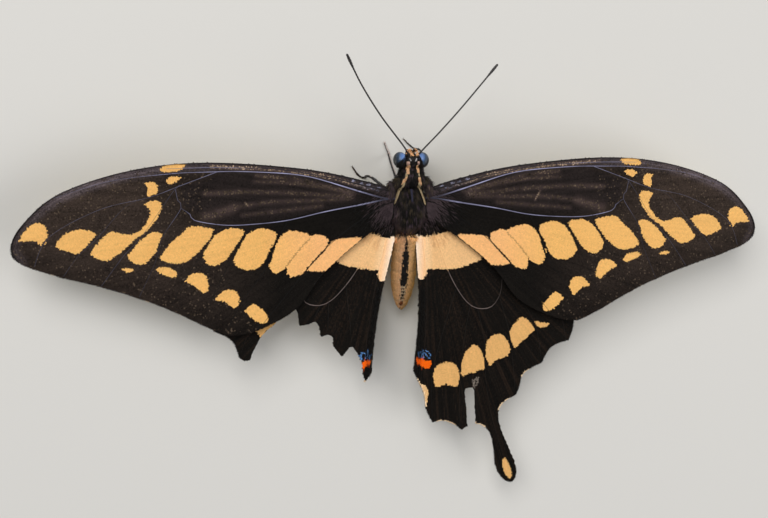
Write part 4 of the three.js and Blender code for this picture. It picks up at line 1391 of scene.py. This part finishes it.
def base_hair(wing):
    reach = RNG.uniform(0, 1, BASE_HAIRS * TRIES) ** 1.3 * BASE_REACH
    angle = RNG.uniform(-np.pi, np.pi, BASE_HAIRS * TRIES)
    plan = WING_ROOT + columns(reach * np.cos(angle), reach * np.sin(angle))
    plan = plan[wing.beyond(plan) < -0.3][:BASE_HAIRS]
    if wing.form is HINDWING:
        rim = smooth_run(HINDWING["edge"][-1], 0.1)
        pick = rim[RNG.integers(0, len(rim), BASE_HAIRS // 2)]
        plan = np.vstack([plan, pick + columns(RNG.uniform(0.3, 1.1, len(pick)), 0.0)])
        plan = plan[(wing.beyond(plan) < -0.25) & (depth(plan, PALE_STRIP) > BARE_MARGIN)]
    count = len(plan)
    away = unit(wing.laid(plan) - [HAIR_SOURCE[0] * wing.side, HAIR_SOURCE[1]])
    along = unit(np.column_stack([away, np.full(count, 0.15)]) + RNG.normal(0, 0.12, (count, 3)))
    roots = wing.lifted(plan) + [0, 0, 0.05]
    size = columns(0.07, BASE_HAIR_LENGTH * RNG.uniform(0.6, 1.2, count), 0.07)
    shown = wing.drawn((roots + HAIR_SHOWN * size[:, 1:2] * along)[:, :2])
    paint = upper_paint(wing, shown)
    dark = paint.sum(axis=1) < 0.5
    brown = dark & (from_root(shown) < RNG.uniform(*BROWN_BASE, count))
    # mauve brown hair at the wing roots, partly a painted purplish sheen
    paint[brown] = MAUVE_AND_SHEEN
    # painted light: hairs over pale wing are painted up to a quarter lighter; dark ones vary at random
    paint *= np.where(dark, RNG.uniform(0.65, 1.25, count), RNG.uniform(1.0, 1.25, count))[:, None]
    scatter(f"{wing.name}_base_hair", TUFT, roots, along, UP, size, paint, wing.unwrap(plan), FUR_LOOK)


for wing in WINGS:
    base_hair(wing)

# %% [markdown]
# ## Eyes
# A butterfly's eye bulges from the side of the head and is built of thousands of hexagonal facets. An
# icosphere has its corners spread evenly, and the dual of its mesh turns each corner into a hexagon. Each is
# then inset and domed. Its paint holds a painted reflection of the sky: slate blue on the part that faces up
# and forward, nearly black on the rest. Black hair from the top of the head lies over its inner edge like a
# brow.

# %% Eyes
EYE_RADIUS = np.array([1.1, 1.3, 1.35])
EYE_PLACES = {"left": (-1.8, 6.1, 0.35), "right": (2.0, 6.0, 0.35)}
EYE_SHEEN_WAY = {"left": (0.36, 0.46, 0.81), "right": (-0.5, 0.47, 0.73)}
EYE_BLACK = linear("#10141a")
EYE_SLATE_REFLECTION = linear("#36495f")
EYE_SKY_REFLECTION = linear("#688ac2")
EYE_MATERIAL = painted_material("compound eye facets", 0.3, specular=0.5)
for socket, value in (("Coat Weight", 0.3), ("Coat Roughness", 0.2)):
    EYE_MATERIAL.node_tree.nodes["Principled BSDF"].inputs[socket].default_value = value


def compound_eye(side):
    bpy.ops.mesh.primitive_ico_sphere_add(subdivisions=5, radius=1)
    eye = bpy.context.object
    group = bpy.data.node_groups.new("Facets", "GeometryNodeTree")
    group.interface.new_socket("Geometry", in_out="INPUT", socket_type="NodeSocketGeometry")
    group.interface.new_socket("Geometry", in_out="OUTPUT", socket_type="NodeSocketGeometry")
    source = add_node(group, "NodeGroupInput")
    dual = add_node(group, "GeometryNodeDualMesh", [("Mesh", source, "Geometry")])
    add_node(group, "NodeGroupOutput", [("Geometry", dual, "Dual Mesh")])
    apply_modifier(eye, "NODES", node_group=group)
    mode("EDIT")
    bpy.ops.mesh.select_all(action="SELECT")
    bpy.ops.mesh.inset(use_individual=True, thickness=0.011, depth=0.012)
    mode("OBJECT")
    co = vertices(eye)
    put(eye, co * EYE_RADIUS + EYE_PLACES[side])
    # painted reflection of the sky: slate to blue on facets that face the sheen way, nearly black elsewhere
    toward_sheen = co @ np.array(EYE_SHEEN_WAY[side])
    slate_reflection = blend(EYE_BLACK, EYE_SLATE_REFLECTION, ramp(toward_sheen, 0.2, 0.8))
    set_paint(eye, blend(slate_reflection, EYE_SKY_REFLECTION, ramp(toward_sheen, 0.7, 0.98)))
    eye.name = f"eye_{side}"
    finish_piece(eye, EYE_MATERIAL, "eye", [f"eye_{side}"], smooth=False)


# %% Brow hair
BROW_LINES = {"left": [[-0.75, 7.4], [-1.6, 6.6], [-2.6, 5.6]],
              "right": [[1.42, 7.1], [1.72, 6.2], [2.1, 5.2]]}
BROW_TUFTS = 900


def brow_hair(side):
    """Black hair over the part of an eye that lies inward of and behind a line."""
    sign = -1 if side == "left" else 1
    way = unit(RNG.normal(0, 1, (BROW_TUFTS * TRIES, 3)))
    roots = way * EYE_RADIUS + EYE_PLACES[side]
    line = np.array(BROW_LINES[side])
    edge = np.interp(roots[:, 1], line[::-1, 1], line[::-1, 0])
    covered = (way[:, 2] > -0.2) & ((edge - roots[:, 0]) * sign > 0.1)
    roots = roots[covered][:BROW_TUFTS]
    out = unit((way / EYE_RADIUS)[covered][:BROW_TUFTS])
    count = len(roots)
    along = laid_down(out, [0.1 * sign, -1.0, 0.0], RNG.uniform(0.0, 0.2, count))
    size = columns(0.08, RNG.uniform(0.25, 0.4, count), 0.07)
    paint = BODY_BLACK * RNG.uniform(0.7, 1.6, (count, 1))
    scatter(f"brow_{side}", TUFT, roots, along, out, size, paint, skin_unwrap(roots), FUR_LOOK,
            painted_shading=(0.6, 1.2))


for side in ("left", "right"):
    compound_eye(side)
    brow_hair(side)

# %% [markdown]
# ## Feelers
# A feeler is a thin shaft of some forty short rings on a bulbous base, and ends in a slight club that bends
# up. It is one tube along the drawn line, pinched at every ring.

# %% Feelers
ANTENNA_ROUTES = {
    "left": [[-0.4, 6.6, 0.5], [-1.3, 8.2, 1.6], [-5.4, 13.4, 2.3], [-8.8, 18.6, 2.8], [-11.2, 23.4, 3.0]],
    "right": [[1.0, 6.6, 0.5], [2.3, 8.3, 1.5], [4.6, 10.8, 2.1], [8.4, 15.1, 2.7], [14.0, 21.7, 3.1]],
}
ANTENNA_RINGS = 42
RING_STEPS = 4
RING_PINCH = 0.16
SHAFT = 0.14
CLUB = 0.11
BULB = 0.2

HORN_MATERIAL = painted_material("dark horny cuticle", 0.4, wrinkle=0.08, height=0.008)


def even_points(route, count):
    """Points at even steps along the smooth line through a route."""
    line = smooth_run(route, 0.05)
    marks = travelled(line)
    return on_line(np.linspace(0, marks[-1], count), marks, line)


def feeler(name):
    points = even_points(ANTENNA_ROUTES[name], ANTENNA_RINGS * RING_STEPS + 1)
    t = np.linspace(0, 1, len(points))
    club = np.sin(np.pi * ramp(t, 0.86, 1.015) ** 1.2) ** 1.2
    bulb = np.exp(-((t - 0.012) / 0.014) ** 2)
    pinch = 1 - RING_PINCH * np.abs(np.cos(np.pi * ANTENNA_RINGS * t)) ** 6
    radius = (SHAFT + CLUB * club + BULB * bulb) * pinch
    radius[-1] = 0.05
    made = tube(f"antenna_{name}", points, radius)
    ring = np.abs(np.sin(np.pi * ANTENNA_RINGS * np.linalg.norm(places(made) - points[0], axis=1) / 20))
    set_paint(made, blend(linear("#0e0b0a"), linear("#2a211c"), ring ** 4))
    finish_piece(made, HORN_MATERIAL, "cuticle", [f"antenna_{name}"])


feeler("left")
feeler("right")

# %% [markdown]
# ## Palps and proboscis
# Two short, furry palps stand up against the front of the face, cream orange with black between them. Under
# them the drinking tube is wound like a watch spring.

# %% Palps
PALP_SHIFT = 0.42
PALP_APART = 0.44
PALP_TUFTS = 420
PALP_CREAM = linear("#f6c592")
PALP_PATH = [(6.4, -1.2), (7.2, -1.0), (7.6, -0.2), (7.6, 0.6)]


def out_of(ahead, raised=False):
    """A random way out of a tube, square to the way ahead along it, and upward where it is raised."""
    out = RNG.normal(0, 1, ahead.shape)
    out[:, 2] = np.where(raised, np.abs(out[:, 2]), out[:, 2])
    return unit(out - (out * ahead).sum(axis=1, keepdims=True) * ahead)


def tube_unwrap(out, at):
    return columns(np.arctan2(out[:, 0], out[:, 2]) / 6.3 + 0.5, at) * 0.98 + 0.005


def palp(name, side):
    x = PALP_SHIFT + side * PALP_APART
    points = even_points([[x, y, z] for y, z in PALP_PATH], 16)
    t = np.linspace(0, 1, 16)
    core = tube(f"palp_{name}", points, (0.26 - 0.1 * t * t) * np.minimum(1, 6 * (1.02 - t)))
    inner = (places(core)[:, 0] - x) * side < -0.1
    set_paint(core, np.where(inner[:, None], BODY_BLACK, PALP_CREAM))
    finish_piece(core, SKIN_MATERIAL, "palp_hair", [f"palp_{name}"])
    at = RNG.uniform(0, 1, PALP_TUFTS) ** 0.8
    middle = on_line(at, t, points)
    longer = np.vstack([points, 2 * points[-1] - points[-2]])
    ahead = unit(on_line(np.minimum(at + 0.08, 1.08), np.append(t, 1.08), longer) - middle)
    out = out_of(ahead)
    roots = middle + out * (0.2 - 0.08 * at * at)[:, None]
    size = columns(0.08, RNG.uniform(0.3, 0.5, PALP_TUFTS), 0.06)
    dark = (out[:, 0] * side < -0.5) | (RNG.random(PALP_TUFTS) < 0.05)
    paint = np.where(dark[:, None], BODY_BLACK, PALP_CREAM * RNG.uniform(0.8, 1.15, (PALP_TUFTS, 1)))
    # painted light: the palp hair is painted up to a third brighter toward its tips
    scatter(f"palp_{name}_hair", TUFT, roots, unit(ahead + 0.25 * out), out, size, paint,
            tube_unwrap(out, at), (FUR, "palp_hair"), painted_shading=(1.05, 1.35))


palp("left", -1)
palp("right", 1)

# %% Proboscis
HEAD_SHIFT = 0.3
COIL_PLACE = (6.5, -3.05)
COIL_OUTER = 1.15
COIL_INNER = 0.35
COIL_TURNS = 1.45
COIL_POINTS = 70
COIL_START = (6.0, -1.0)

turn = np.linspace(0, 1, COIL_POINTS)
angle = np.pi * (0.85 - 2 * COIL_TURNS * turn)
reach = COIL_OUTER + (COIL_INNER - COIL_OUTER) * turn
coil = columns(HEAD_SHIFT, COIL_PLACE[0] + reach * np.cos(angle), COIL_PLACE[1] + reach * np.sin(angle))
coil = np.vstack([[HEAD_SHIFT, *COIL_START], coil])
proboscis = tube("proboscis", coil, 0.17 - 0.06 * np.linspace(0, 1, len(coil)))
set_paint(proboscis, linear("#4a2c17"))
finish_piece(proboscis, HORN_MATERIAL, "cuticle", ["proboscis"])

# %% [markdown]
# ## Legs
# Each leg is a thick, furry thigh out of the thorax, a slim shin with two spurs, and a foot of five short
# joints that lies flat and ends in a pair of claws. A tube follows the drawn line, and its radius narrows at
# every joint. Short bristles stand along it, pointing to the foot.

# %% Legs
FOOT_LINE = FLOOR + 0.17  # the height of the places that are given in plan only
HIND_LEG = [[1.6, -3.6, -3.6], [4.0, -6.2, -5.0], [5.6, -8.9, -7.6], [6.4, -10.4], [7.2, -12.8],
            [7.8, -16.6]]
LEGS = {
    "foreleg_left": [[-1.0, 1.4, -3.2], [-1.3, 2.9, -4.6], [-1.5, 5.2, -7.4], [-1.4, 6.3],
                     [-1.75, 7.2], [-2.1, 8.1]],
    "foreleg_right": [[1.2, 1.6, -3.4], [3.2, 3.4, -4.8], [4.4, 5.2, -7.6], [4.2, 6.8],
                      [2.9, 7.25], [1.3, 8.7]],
    "midleg_left": [[-1.6, -0.6, -3.6], [-3.6, 1.2, -4.6], [-5.2, 2.6, -5.6], [-5.7, 2.7, -7.4],
                    [-5.8, 2.2], [-6.8, 2.7], [-7.8, 4.1]],
    "midleg_right": [[1.6, -0.6, -3.6], [4.4, -0.4, -5.3], [6.2, -0.6, -7.8], [7.0, -0.8],
                     [8.3, -0.6], [10.4, 0.2]],
    "hindleg_left": [[-x, *rest] for x, *rest in HIND_LEG],
    "hindleg_right": HIND_LEG,
}
LEG_DARK = linear("#1b1411")
LEG_BROWN = linear("#4a3525")
LEG_PALE = linear("#bfb2aa")
CLAW_PINK = linear("#b98a78")
PALE_STRETCHES = {"foreleg_left": (1, 5), "midleg_left": (2, 3)}
LEG_POINTS = 121
BRISTLES = 260
THIGH = (0.36, 0.42, 0.25)
SHIN_AND_FOOT = {"foreleg_left": (0.24, 0.22, 0.18), "foreleg_right": (0.17, 0.11, 0.09)}
OTHER_SHINS = (0.21, 0.17, 0.13)
JOINT_PINCH = 0.28
JOINT_LENGTH = 0.008
KNEE_SWELL = 0.25


def leg(name):
    route = np.array([place if len(place) == 3 else [*place, FOOT_LINE] for place in LEGS[name]])
    points = even_points(route, LEG_POINTS)
    t = np.linspace(0, 1, LEG_POINTS)
    joints = [t[np.argmin(np.linalg.norm(points - place, axis=1))] for place in route]
    knee, heel = joints[1], joints[-3]
    radii = [*THIGH, *SHIN_AND_FOOT.get(name, OTHER_SHINS)]
    radius = np.interp(t, [0, knee * 0.5, knee, (knee + heel) / 2, heel, 1], radii)
    for joint in [knee, *np.linspace(heel, 1, 6)[:-1]]:
        radius = radius * (1 - JOINT_PINCH * np.exp(-((t - joint) / JOINT_LENGTH) ** 2))
    radius = radius * (1 + KNEE_SWELL * np.exp(-((t - knee - 0.02) / 0.012) ** 2))
    points[:, 2] = np.maximum(points[:, 2], FLOOR + radius)
    limb = tube(name, points, radius)
    co = above_floor(places(limb))
    put(limb, co)
    nearest = np.array([np.argmin(((points - p) ** 2).sum(axis=1)) for p in co])
    paint = blend(LEG_DARK, LEG_BROWN, (t[nearest] - heel) * 3)
    pale_from, pale_to = [joints[index] for index in PALE_STRETCHES.get(name, (0, 0))]
    pale = (t[nearest] > pale_from) & (t[nearest] < pale_to) & (co[:, 0] > points[nearest, 0] - 0.1)
    paint[pale] = LEG_PALE
    set_paint(limb, paint)
    finish_piece(limb, HORN_MATERIAL, "cuticle", [name])

    at = RNG.uniform(0.02, 0.97, BRISTLES)
    middle = on_line(at, t, points)
    ahead = unit(on_line(at + 0.02, t, points) - middle)
    out = out_of(ahead, raised=at > heel)
    roots = middle + out * (np.interp(at, t, radius) * 0.8)[:, None]
    along = ahead + 0.45 * out
    along[:, 2] = np.where(at > heel, np.abs(along[:, 2]), along[:, 2])
    size = columns(0.06, np.interp(at, [0, knee, 1], [0.7, 0.4, 0.22]), 0.05)
    size[(at > pale_from) & (at < pale_to) & (out[:, 0] > -0.2), 1] *= 0.2
    paint = LEG_DARK * RNG.uniform(0.7, 1.6, (BRISTLES, 1))
    scatter(f"{name}_bristles", TUFT, roots, unit(along), out, size, paint, tube_unwrap(out, at),
            (FUR, "cuticle"))

    heading = unit(points[-1] - points[-6])
    aside = np.array([-heading[1], heading[0], 0])
    toe, ankle = points[-1] + [0, 0, 0.02], points[int(heel * (LEG_POINTS - 1)) - 4]
    roots = np.array([toe, ankle] * 2)
    along = np.array([heading + wide * sign * aside + [0, 0, drop]
                      for sign in (-1, 1) for wide, drop in ((0.55, 0), (0.5, -0.1))])
    size = np.array([[0.11, 0.42, 0.1], [0.11, 0.5, 0.1]] * 2)
    paint = CLAW_PINK if name == "foreleg_left" else LEG_BROWN
    spread = 0.5 + np.arange(4)[:, None] * [0.01, 0.01]
    scatter(f"{name}_claws", TUFT, roots, unit(along), UP, size, paint, spread, (HORN_MATERIAL, "cuticle"))


for name in LEGS:
    leg(name)

# %% [markdown]
# ## Floor, light and camera
# The butterfly is shown on a plain pale floor under soft studio light. The camera looks down on it from above
# its head and left wing, with the field of view of a short telephoto lens.

# %% Floor
bpy.ops.mesh.primitive_plane_add(size=1.6)
floor = bpy.context.object
floor.name = "floor"
FLOOR_MATERIAL, shader = new_material("pale matte studio floor")
shader.inputs["Base Color"].default_value = (*linear("#d9d6d0"), 1)
shader.inputs["Roughness"].default_value = 0.9
floor.data.materials.append(FLOOR_MATERIAL)

# %% Lights
world = bpy.data.worlds.new("soft studio")
bpy.context.scene.world = world
world.use_nodes = True
sky = world.node_tree.nodes["Background"].inputs
sky["Color"].default_value = (*linear("#e8ecf2"), 1)
sky["Strength"].default_value = 0.3


def softbox(name, place, size, power):
    """A soft light that faces the butterfly."""
    light = bpy.data.lights.new(name, "AREA")
    light.shape = "RECTANGLE"
    light.size, light.size_y = size
    light.energy = power
    obj = new_object(name, light)
    obj.location = place
    obj.rotation_euler = (-obj.location).to_track_quat("-Z", "Y").to_euler()


softbox("key", (-0.25, 0.35, 0.55), (0.5, 0.4), 3.4)
softbox("fill", (0.5, -0.1, 0.45), (0.5, 0.5), 2.1)
bpy.context.scene.view_settings.view_transform = "Standard"

# %% Camera
CAMERA_PLACE = np.array([-49.32, 24.39, 192.62])
TILT_TO_HEAD = math.radians(10)
TILT_TO_LEFT = math.radians(13.123)

camera_data = bpy.data.cameras.new("camera")
camera_data.sensor_width = 36
camera_data.lens = 56.25
camera_data.clip_start = 0.005
camera = new_object("camera", camera_data)
turned = Matrix.Rotation(TILT_TO_HEAD, 4, "X") @ Matrix.Rotation(TILT_TO_LEFT, 4, "Y")
camera.matrix_world = Matrix.Translation(to_frame(CAMERA_PLACE)) @ turned.transposed()
bpy.context.scene.camera = camera

# %% Update the scene
bpy.context.view_layer.update()
